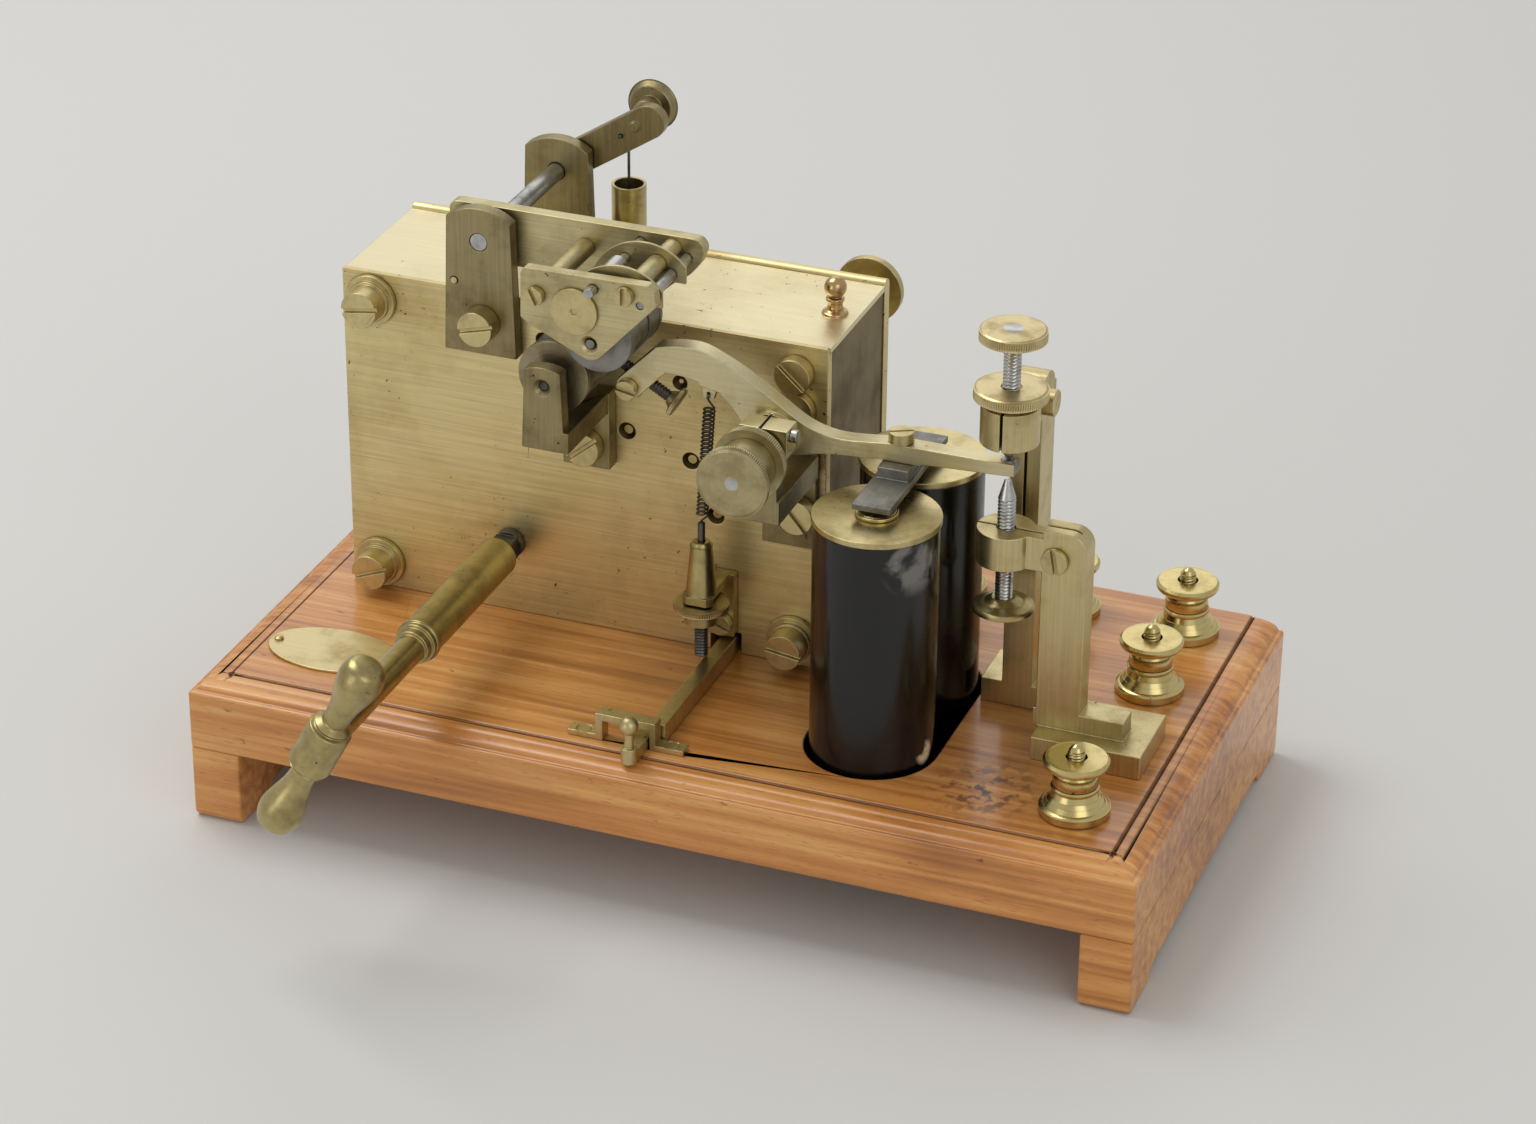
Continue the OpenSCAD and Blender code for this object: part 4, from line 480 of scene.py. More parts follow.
    # oil sinks, blackened by old oil
    SINK = WornMetal(
        "oil_blackened_brass", "#5d4e30", "#3b301d", 0.4, 0.5, 6.0, Grain.NONE, streaks=0.1, bump=0.05)
    WOOD = PolishedWood()
    WRAP = BlackWrap()
    HEAD_DISC = WornMetal(
        "turned_brass_disc", "#b5a472", "#8a7b51", 0.26, 0.45, 8.0, Grain.TURNED_Y,
        (HEAD_DISC_AT[0], 0.0, HEAD_DISC_AT[1]),
        streaks=0.25, shade_and_grime=0.5, bump=0.2)
    ROLLER_DISC = WornMetal(
        "turned_dull_brass_flange", "#ab9f80", "#8d8063", 0.28, 0.5, 8.0, Grain.TURNED_Y,
        (FEED_AT[0], 0.0, FEED_AT[1]),
        streaks=0.3, shade_and_grime=0.6, bump=0.2, pit_and_shade_colour="#14110e")
    BEARING_FACE = WornMetal(
        "turned_knurled_brass", "#b9ac82", "#9c8f6a", 0.3, 0.5, 8.0, Grain.TURNED_Y,
        (LEVER_PIVOT[0], 0.0, LEVER_PIVOT[1]),
        streaks=0.12, shade_and_grime=0.65, bump=0.12)
    HEAD_FACE = WornMetal(
        "faced_brass_head", "#d7c695", "#b19d6e", 0.28, 0.4, 8.0, Grain.TURNED_Z,
        (CONTACT[0], CONTACT[1], 0.0),
        streaks=0.12, shade_and_grime=0.6, shade_and_grime_mm=0.6, bump=0.12)

    def material(self) -> bpy.types.Material:
        """The finish's material, built at its first use."""
        found = bpy.data.materials.get(self.value.name)
        return found or self.value.build()


def dress(obj: bpy.types.Object, *finishes: Finish) -> bpy.types.Object:
    """Puts finishes on an object's material slots.

    Args:
        obj: the object.
        finishes: one finish for each slot.

    Returns:
        The same object.
    """
    slots = [face.material_index for face in obj.data.polygons]
    obj.data.materials.clear()
    for finish in finishes:
        obj.data.materials.append(finish.material())
    if len(finishes) > 1:
        obj.data.polygons.foreach_set("material_index", slots)
    return obj


def new_piece(name: str, mesh: bpy.types.Mesh, body: str) -> bpy.types.Object:
    """Links a mesh as a piece that rides on a body.

    Args:
        name: the piece's name.
        mesh: its mesh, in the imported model's frame.
        body: the body's name.

    Returns:
        The new object.
    """
    obj = bpy.data.objects.new(name, mesh)
    bpy.context.scene.collection.objects.link(obj)
    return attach(obj, body)


def stand_for(
    node: str, name: str, mesh: bpy.types.Mesh, body: str, *finishes: Finish
) -> bpy.types.Object:
    """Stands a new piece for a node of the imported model, in the node's slot.

    Args:
        node: the node.
        name: the new piece's name.
        mesh: its mesh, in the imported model's frame.
        body: the body it rides on.
        finishes: one finish for each material slot.

    Returns:
        The new object.
    """
    obj = new_piece(name, mesh, body)
    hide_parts(node)
    return dress(obj, *finishes)


def smooth_by_angle(mesh: bpy.types.Mesh, degrees: float = 35.0) -> None:
    """Shades a mesh smooth, with sharp edges above an angle.

    Args:
        mesh: the mesh.
        degrees: the angle.
    """
    work = bmesh.new()
    work.from_mesh(mesh)
    for face in work.faces:
        face.smooth = True
    for edge in work.edges:
        if len(edge.link_faces) == 2:
            edge.smooth = edge.calc_face_angle(0.0) < math.radians(degrees)
    work.to_mesh(mesh)
    work.free()


def eased(
    node: str,
    *finishes: Finish,
    width: float = 0.25,
    segments: int = 2,
    choose: Optional[Callable[[Vector, Vector], int]] = None,
) -> bpy.types.Object:
    """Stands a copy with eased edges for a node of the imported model.

    Args:
        node: the node's name.
        finishes: one finish for each material slot.
        width: the width of the eased edges in millimetres.
        segments: facets across an edge.
        choose: picks a slot from a face's centre, in drawing millimetres, and its normal.

    Returns:
        The new object.
    """
    source = frame["nodes"][node]
    mesh = source.data.copy()
    work = bmesh.new()
    work.from_mesh(mesh)
    bmesh.ops.remove_doubles(work, verts=work.verts, dist=2e-6)
    bmesh.ops.dissolve_limit(
        work, angle_limit=math.radians(0.5), verts=work.verts, edges=work.edges, use_dissolve_boundaries=False
    )
    for face in work.faces:
        face.smooth = True
        centre = face.calc_center_median() / MM + Vector((HALF_LENGTH, HALF_DEPTH, 0))
        face.material_index = choose(centre, face.normal) if choose else 0
    work.to_mesh(mesh)
    work.free()
    obj = new_piece(node + "_eased", mesh, source["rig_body"])
    edge = obj.modifiers.new("eased_edges", "BEVEL")
    edge.width = width * MM
    edge.segments = segments
    edge.limit_method = "ANGLE"
    edge.angle_limit = math.radians(38)
    edge.use_clamp_overlap = False
    edge.harden_normals = False
    flat = obj.modifiers.new("flat_faces", "WEIGHTED_NORMAL")
    flat.keep_sharp = True
    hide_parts(node)
    return dress(obj, *finishes)


@dataclass(frozen=True)
class Stretch:
    """One stretch of a turned piece, in millimetres along its axis."""

    start: float
    end: float
    first: float
    last: float
    steps: int = 1
    slot: int = 0
    ridges: int = 0
    ridge_depth: float = 0.0
    pitch: float = 0.0
    thread_depth: float = 0.0

    def radius(self, share: float, turn: float) -> float:
        """The radius at a share of the stretch and a share of a turn.

        Args:
            share: from 0 at the start to 1 at the end.
            turn: from 0 to 1 round the axis.

        Returns:
            The radius in millimetres.
        """
        plain = self.first + (self.last - self.first) * share
        if self.ridges:
            wave = abs((turn * self.ridges) % 1.0 - 0.5) * 2
            fade = min(1.0, 8 * share, 8 * (1 - share))
            plain -= self.ridge_depth * wave * fade
        if self.pitch:
            along = share * (self.end - self.start)
            wave = abs((along / self.pitch - turn) % 1.0 - 0.5) * 2
            plain -= self.thread_depth * wave
        return plain


@dataclass
class Turned:
    """A turned piece: stretches along an axis, closed at both ends."""

    stretches: Sequence[Stretch]
    origin: Vector
    axis: Vector
    sides: int = 48

    def mesh(self, name: str) -> bpy.types.Mesh:
        """Builds the mesh.

        Args:
            name: the mesh's name.

        Returns:
            The closed mesh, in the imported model's frame.
        """
        up = self.axis.normalized()
        across = up.orthogonal().normalized()
        other = up.cross(across)
        work = bmesh.new()
        rings: list[list[bmesh.types.BMVert]] = []
        slots: list[int] = []
        for stretch in self.stretches:
            for step in range(stretch.steps + 1):
                share = step / stretch.steps
                height = stretch.start + (stretch.end - stretch.start) * share
                ring = []
                for side in range(self.sides):
                    turn = side / self.sides
                    r = max(stretch.radius(share, turn), 0.02)
                    angle = turn * math.tau
                    ring.append(
                        work.verts.new(
                            self.origin
                            + (up * height + (across * math.cos(angle) + other * math.sin(angle)) * r) * MM
                        )
                    )
                rings.append(ring)
                slots.append(stretch.slot)
        for index in range(len(rings) - 1):
            low, high = rings[index], rings[index + 1]
            for side in range(self.sides):
                after = (side + 1) % self.sides
                face = work.faces.new((low[side], low[after], high[after], high[side]))
                face.material_index = slots[index + 1]
        work.faces.new(list(reversed(rings[0]))).material_index = slots[0]
        work.faces.new(rings[-1]).material_index = slots[-1]
        bmesh.ops.remove_doubles(work, verts=work.verts, dist=1e-7)
        bmesh.ops.recalc_face_normals(work, faces=work.faces)
        result = bpy.data.meshes.new(name)
        work.to_mesh(result)
        work.free()
        smooth_by_angle(result, 40)
        return result


def joined(name: str, parts: Sequence[Turned]) -> bpy.types.Mesh:
    """Puts several turned solids in one mesh.

    Args:
        name: the mesh's name.
        parts: the solids.

    Returns:
        The mesh.
    """
    work = bmesh.new()
    for part in parts:
        mesh = part.mesh("part")
        work.from_mesh(mesh)
        bpy.data.meshes.remove(mesh)
    result = bpy.data.meshes.new(name)
    work.to_mesh(result)
    work.free()
    return result


def thread(
    start: float, end: float, radius: float, pitch: float = 0.9, depth: float = 0.32, slot: int = 0
) -> Stretch:
    """A screw thread.

    Args:
        start: where it starts along the axis.
        end: where it ends.
        radius: the crest's radius.
        pitch: the distance of one turn.
        depth: the thread's depth.
        slot: the material slot.

    Returns:
        The stretch.
    """
    steps = max(4, round(abs(end - start) / pitch * 6))
    return Stretch(start, end, radius, radius, steps, slot, pitch=pitch, thread_depth=depth)


def rim(start: float, end: float, radius: float, ridges: int, depth: float = 0.3, slot: int = 0) -> Stretch:
    """A straight-knurled rim whose ridges fade at both edges.

    Args:
        start: where it starts along the axis.
        end: where it ends.
        radius: the crest's radius.
        ridges: how many ridges.
        depth: their depth.
        slot: the material slot.

    Returns:
        The stretch.
    """
    return Stretch(start, end, radius, radius, 8, slot, ridges=ridges, ridge_depth=depth)


@dataclass
class Wire:
    """A round wire bent along points."""

    points: Sequence[Vector]
    diameter: float
    sides: int = 10

    def mesh(self, name: str) -> bpy.types.Mesh:
        """Builds the wire's mesh with rings that don't twist.

        Args:
            name: the mesh's name.

        Returns:
            The closed mesh.
        """
        work = bmesh.new()
        pts = list(self.points)
        across: Optional[Vector] = None
        rings = []
        for index, point in enumerate(pts):
            ahead = pts[min(index + 1, len(pts) - 1)] - pts[max(index - 1, 0)]
            ahead.normalize()
            across = ahead.orthogonal() if across is None else across - ahead * across.dot(ahead)
            across.normalize()
            other = ahead.cross(across)
            ring = []
            for side in range(self.sides):
                angle = math.tau * side / self.sides
                ring.append(
                    work.verts.new(
                        point + (across * math.cos(angle) + other * math.sin(angle)) * self.diameter / 2 * MM
                    )
                )
            rings.append(ring)
        for low, high in zip(rings, rings[1:]):
            for side in range(self.sides):
                after = (side + 1) % self.sides
                work.faces.new((low[side], low[after], high[after], high[side])).smooth = True
        work.faces.new(list(reversed(rings[0])))
        work.faces.new(rings[-1])
        bmesh.ops.recalc_face_normals(work, faces=work.faces)
        result = bpy.data.meshes.new(name)
        work.to_mesh(result)
        work.free()
        return result


@dataclass
class Studio:
    """Plain pale floor, soft light and the camera of the photograph."""

    camera_at: tuple[float, float, float] = (0.44848, -1.135385, 0.75209)
    target: tuple[float, float, float] = (-0.0733, 0.249615, -0.03776)
    roll: float = 0.563
    lens: float = 102.4
    sensor: float = 36.0
    floor_colour: str = "#d2d1ce"
    floor_size: float = 8.0
    world_level: float = 0.62
    key_power: float = 15.0
    back_power: float = 3.6
    fill_power: float = 5.0
    front_power: float = 3.0

    def camera(self) -> None:
        """Makes the camera first, at the photograph's place."""
        data = bpy.data.cameras.new("camera")
        data.sensor_width = self.sensor
        data.lens = self.lens
        camera = bpy.data.objects.new("camera", data)
        eye = Vector(self.camera_at)
        aim = (Vector(self.target) - eye).to_track_quat("-Z", "Y").to_matrix().to_4x4()
        camera.matrix_world = Matrix.Translation(eye) @ aim @ Matrix.Rotation(math.radians(self.roll), 4, "Z")
        bpy.context.scene.collection.objects.link(camera)
        bpy.context.scene.camera = camera

    def lamp(self, name: str, place: tuple[float, float, float], size: float, power: float) -> None:
        """A square soft lamp that points at the object.

        Args:
            name: the lamp's name.
            place: where it stands, in metres.
            size: its side in metres.
            power: its power in watts.
        """
        data = bpy.data.lights.new(name, "AREA")
        data.shape = "SQUARE"
        data.size = size
        data.energy = power
        lamp = bpy.data.objects.new(name, data)
        spot = Vector(place)
        aim = (Vector((0.0, 0.0, 0.08)) - spot).to_track_quat("-Z", "Y").to_matrix().to_4x4()
        lamp.matrix_world = Matrix.Translation(spot) @ aim
        bpy.context.scene.collection.objects.link(lamp)

    def build(self) -> None:
        """Lays the floor, hangs the lamps and sets the world."""
        scene = bpy.context.scene
        scene.view_settings.view_transform = "Standard"
        world = bpy.data.worlds.new("studio")
        scene.world = world
        world.use_nodes = True
        back = world.node_tree.nodes["Background"]
        back.inputs["Color"].default_value = linear("#f1f1ef")
        back.inputs["Strength"].default_value = self.world_level
        self.lamp("key_light", (-0.9, 0.2, 1.7), 1.1, self.key_power)
        self.lamp("back_light", (-0.5, 1.7, 1.15), 1.3, self.back_power)
        self.lamp("fill_light", (1.3, -1.2, 1.0), 1.2, self.fill_power)
        self.lamp("front_light", (-0.8, -1.5, 0.35), 0.9, self.front_power)
        work = bmesh.new()
        half = self.floor_size / 2
        corners = ((-half, -half), (half, -half), (half, half), (-half, half))
        work.faces.new([work.verts.new((x, y, 0.0)) for x, y in corners])
        mesh = bpy.data.meshes.new("floor")
        work.to_mesh(mesh)
        work.free()
        floor = bpy.data.objects.new("floor", mesh)
        scene.collection.objects.link(floor)
        material = bpy.data.materials.new("pale_matt_board")
        material.use_nodes = True
        tree = material.node_tree
        shader = tree.nodes["Principled BSDF"]
        place = add(tree, "ShaderNodeTexCoord").outputs["Object"]
        tooth = add(
            tree, "ShaderNodeTexNoise", {"Vector": place, "Scale": 900.0, "Detail": 2.0}
        ).outputs["Fac"]
        rough = add(tree, "ShaderNodeMapRange", {"Value": tooth, "To Min": 0.75, "To Max": 0.95}).outputs[0]
        tree.links.new(rough, shader.inputs["Roughness"])
        shader.inputs["Base Color"].default_value = linear(self.floor_colour)
        mesh.materials.append(material)


@dataclass
class Base:
    """The moulded board, its battens, the oval plate and the terminals."""

    terminals: tuple[tuple[float, float], ...] = (
        (291.0, 29.5), (291.0, 110.8), (291.0, 152.5), (250.0, 152.5), (210.0, 152.5))
    post_height: float = 13.4
    foot_radius: float = 11.25
    nut_radius: float = 10.4
    stud_radius: float = 2.8
    stud_top: float = 24.0
    plate: tuple[float, float] = (35.2, 35.2)
    rivet_out: float = 19.5

    def build(self) -> None:
        """Builds and dresses the base."""
        eased("base_board", Finish.WOOD, width=0.7, segments=3)
        eased("battens", Finish.WOOD, width=0.9, segments=3)
        eased("wood_screws", Finish.TURNED, width=0.18)
        eased("name_plate", Finish.PLATE, width=0.22)
        self.rivets()
        self.posts()
        self.nuts()

    def rivets(self) -> None:
        """Two domed rivets that hold the oval plate."""
        dome = [
            Stretch(1.0, 1.7, 1.55, 1.45, 2),
            Stretch(1.7, 2.1, 1.4, 0.9, 3),
            Stretch(2.1, 2.25, 0.85, 0.1, 2),
        ]
        parts = [
            Turned(dome, at(x, self.plate[1], BOARD_TOP), UP, 32)
            for x in (self.plate[0] - self.rivet_out, self.plate[0] + self.rivet_out)
        ]
        obj = new_piece("oval_plate_rivets", joined("rivets", parts), "frame")
        dress(obj, Finish.TERMINAL)

    def posts(self) -> None:
        """Turned terminals with threaded studs that end in a dome."""
        foot = self.foot_radius
        top = self.post_height
        stud = self.stud_radius
        profile = [
            Stretch(0, 0.4, foot - 0.4, foot),
            Stretch(0.4, 2.6, foot, foot),
            Stretch(2.6, 3.2, foot - 0.1, foot - 0.7, 2),
            Stretch(3.3, 3.5, foot - 1.1, foot - 1.4),
            Stretch(3.5, 5.0, foot - 1.5, foot - 2.4, 3),
            Stretch(5.0, 6.4, foot - 2.5, foot - 3.5, 3),
            Stretch(6.4, 8.2, foot - 3.6, foot - 4.2, 3),
            Stretch(8.3, 8.8, 7.2, 7.6, 2),
            Stretch(8.8, 9.4, 7.6, 7.6),
            Stretch(9.4, 9.9, 7.6, 7.1, 2),
            Stretch(9.9, 10.1, 6.7, 6.7),
            Stretch(10.1, 10.4, 7.0, 7.2),
            Stretch(10.4, top - 0.4, 7.2, 7.0),
            Stretch(top - 0.4, top, 7.0, 6.5, 2),
            Stretch(top, top + 0.01, stud, stud),
            thread(top + 0.01, 21.6, stud, 1.1, 0.38),
            Stretch(21.6, 22.0, stud - 0.4, stud - 0.3),
            Stretch(22.0, 23.3, stud - 0.3, stud - 1.2, 4),
            Stretch(23.3, self.stud_top, stud - 1.2, 0.3, 4),
        ]
        self._set("terminal_posts", profile, "terminal_posts")

    def nuts(self) -> None:
        """Thumb nuts with rounded rims and a waist."""
        base = self.post_height
        r = self.nut_radius
        bore = self.stud_radius + 0.25
        profile = [
            Stretch(base + 0.02, base + 0.02, bore, 6.4, 1),
            Stretch(base + 0.1, base + 0.5, 6.6, 6.7, 2),
            Stretch(base + 0.5, base + 1.2, 6.6, 6.2, 2),
            Stretch(base + 1.2, base + 2.6, 6.2, 7.6, 4),
            Stretch(base + 2.6, base + 3.3, 7.7, 9.2, 3),
            Stretch(base + 3.3, base + 3.5, 9.4, r - 0.3, 2),
            Stretch(base + 3.5, base + 4.1, r - 0.3, r, 2),
            Stretch(base + 4.1, base + 5.1, r, r),
            Stretch(base + 5.1, base + 5.9, r, r - 0.8, 3),
            Stretch(base + 5.9, base + 6.05, r - 0.9, r - 1.8, 2),
            Stretch(base + 6.05, base + 6.1, r - 2.2, bore + 0.5, 2),
            Stretch(base + 6.1, base + 5.4, bore + 0.4, bore),
            Stretch(base + 5.4, base + 0.02, bore, bore),
        ]
        self._set("thumb_nuts", profile, "thumb_nuts", closed=True)

    def _set(self, name: str, profile: Sequence[Stretch], node: str, closed: bool = False) -> None:
        """One mesh with a turned piece at each terminal.

        Args:
            name: the piece's name.
            profile: the stretches from the board up.
            node: the node that it stands for.
            closed: whether the profile ends where it began, round a bore.
        """
        work = bmesh.new()
        for x, y in self.terminals:
            part = Turned(profile, at(x, y, BOARD_TOP), UP, 64).mesh("part")
            work.from_mesh(part)
            bpy.data.meshes.remove(part)
        if closed:
            lids = [f for f in work.faces if len(f.verts) > 8]
            bmesh.ops.delete(work, geom=lids, context="FACES_ONLY")
            bmesh.ops.remove_doubles(work, verts=work.verts, dist=1e-6)
            bmesh.ops.recalc_face_normals(work, faces=work.faces)
        mesh = bpy.data.meshes.new(name)
        work.to_mesh(mesh)
        work.free()
        stand_for(node, name + "_turned", mesh, "frame", Finish.TERMINAL)
        log.info("%s: %d on the board", name, len(self.terminals))


@dataclass
class Case:
    """The clockwork's case: plates, ends, lid, pillars and their screws."""

    knob: tuple[float, float] = (180.7, 111.0)
    knob_radius: float = 5.2

    def build(self) -> None:
        """Builds and dresses the case."""
        eased("front_plate", Finish.CASE_SHEET, Finish.SINK, width=0.3, choose=self._sink)
        eased("rear_plate", Finish.CASE_SHEET, width=0.3)
        eased("end_plates", Finish.END_SHEET, width=0.25)
        eased("case_pillars", Finish.TURNED, width=0.2)
        eased("case_screws", Finish.TURNED, width=0.25)
        eased("top_lid", Finish.LID, Finish.KNOB, width=0.22, choose=self._lid_or_knob)
        eased("frame_brackets", Finish.BRACKET, width=0.35)
        eased("spring_tube", Finish.KEY, width=0.2)

    def _sink(self, centre: Vector, normal: Vector) -> int:
        """Slot 1 for the conical sides of the oil sinks in the front plate."""
        return int(-0.93 < normal.y < -0.2)

    def _lid_or_knob(self, centre: Vector, normal: Vector) -> int:
        """Slot 1 for the knob that stands on the lid."""
        near = math.hypot(centre.x - self.knob[0], centre.y - self.knob[1]) < self.knob_radius
        return int(near and centre.z > CASE_TOP - 0.2)


@dataclass
class Clockwork:
    """The train, its spring, the winding arbor and the key."""

    brass: tuple[str, ...] = (
        "mainspring_barrel", "second_wheel", "centre_wheel", "idler_wheel", "third_wheel", "fly")

    def build(self) -> None:
        """Dresses the train and builds the key."""
        for node in self.brass:
            dress(frame["nodes"][node], Finish.WHEEL)
        dress(frame["nodes"]["mainspring"], Finish.DARK_STEEL)
        dress(frame["nodes"]["click"], Finish.STEEL)
        eased("winding_arbor", Finish.DARK_STEEL, width=0.2)
        eased("winding_key", Finish.KEY, width=0.4, segments=3)


@dataclass
class TapeFeed:
    """The feed roller, the head with its embossing roller and guides, and the arm that presses it."""

    def build(self) -> None:
        """Builds and dresses the tape's way."""
        eased("feed_roller_bracket", Finish.BRACKET, width=0.3)
        eased("feed_roller", Finish.DARK_STEEL, Finish.ROLLER_DISC, width=0.2, choose=self._flange)
        eased("pressure_shaft", Finish.STEEL, width=0.25)
        eased("pressure_rear_plate", Finish.HEAD_PLATE, width=0.3)
        eased("pressure_front_plate", Finish.HEAD_PLATE, Finish.HEAD_DISC, width=0.3, choose=self._disc)
        eased("frame_pillars", Finish.HEAD_PLATE, width=0.2)
        eased("frame_screws", Finish.TURNED, width=0.18)
        eased("guide_cheeks", Finish.HEAD_PLATE, width=0.15)
        eased("guide_pin", Finish.STEEL, width=0.15)
        eased("rear_arm", Finish.BRACKET, width=0.35)
        eased("embossing_roller", Finish.ARMATURE, width=0.15)
        eased("guide_roller", Finish.STEEL, width=0.15)

    def _flange(self, centre: Vector, normal: Vector) -> int:
        """Slot 1 for the brass flange at the feed roller's front."""
        return int(54.9 < centre.y < 57.3)

    def _disc(self, centre: Vector, normal: Vector) -> int:
        """Slot 1 for the thin disc riveted on the head's front."""
        away = math.hypot(centre.x - HEAD_DISC_AT[0], centre.z - HEAD_DISC_AT[1])
        return int(away < 7.9 and centre.y < 45.95)


@dataclass
class Springs:
    """Tension spring under the lever and pull spring in its tube."""

    def build(self) -> None:
        """Builds both springs as smooth wire."""
        self.tension()
        self.pull()

    def coil(
        self, foot: Vector, low: float, high: float, tail: float, radius: float, turns: int, lean: float
    ) -> list[Vector]:
        """The points of a coil with straight tails.

        Args:
            foot: the lower end, with its z ignored.
            low: the lower end's height.
            high: the upper end's height.
            tail: the length of each straight tail.
            radius: the coil's radius to the wire's middle.
            turns: how many turns.
            lean: sideways travel for each millimetre of rise.

        Returns:
            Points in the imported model's frame.
        """
        steps = turns * 16
        points = [at(foot.x, foot.y, low), at(foot.x, foot.y, low + tail)]
        for index in range(steps + 1):
            angle = math.tau * index / 16
            rise = 2 * tail + (high - low - 4 * tail) * index / steps
            points.append(
                at(
                    foot.x + lean * rise + radius * math.cos(angle),
                    foot.y + radius * math.sin(angle),
                    low + rise,
                )
            )
        points.append(at(foot.x + lean * (high - low - tail), foot.y, high - tail))
        return points

    def tension(self) -> None:
        """The dark spring that pulls the lever down."""
        foot = Vector((ROD_X, LEVER_Y, 0))
        hook = Vector((LEVER_PIVOT[0] - 22.6, LEVER_Y, LEVER_PIVOT[1] + 9.6))
        points = self.coil(foot, 105.3, hook.z - 1.5, 1.9, 1.75, 27, 0.062)
        points += [
            at(hook.x, LEVER_Y - 1.9, hook.z - 1.2),
            at(hook.x, LEVER_Y - 1.7, hook.z - 0.2),
            at(hook.x, LEVER_Y - 1.2, hook.z),
            at(hook.x, LEVER_Y + 1.0, hook.z),
        ]
        self._place("tension_spring", points, 0.7, "rod")

    def pull(self) -> None:
        """The spring in the tube at the back, hooked on the rear arm."""
        foot = Vector((92.0, 153.5, 0))
        hook = 198.84
        points = self.coil(foot, 146.0, 177.5, 2.7, 3.55, 12, 0.0)
        points += [
            at(foot.x, foot.y, 177.5),
            at(foot.x, foot.y, hook - 1.6),
            at(foot.x, foot.y - 0.5, hook - 0.4),
            at(foot.x, foot.y - 1.6, hook),
            at(foot.x, 145.4, hook),
        ]
        self._place("tube_spring", points, 1.0, "frame")

    def _place(self, node: str, points: list[Vector], diameter: float, body: str) -> None:
        """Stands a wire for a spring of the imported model.

        Args:
            node: the node.
            points: the wire's points.
            diameter: the wire's diameter in millimetres.
            body: the body it rides on.
        """
        mesh = Wire(points, diameter).mesh(node + "_wire")
        stand_for(node, node + "_wire", mesh, body, Finish.DARK_STEEL)
        log.info("%s: %d points", node, len(points))


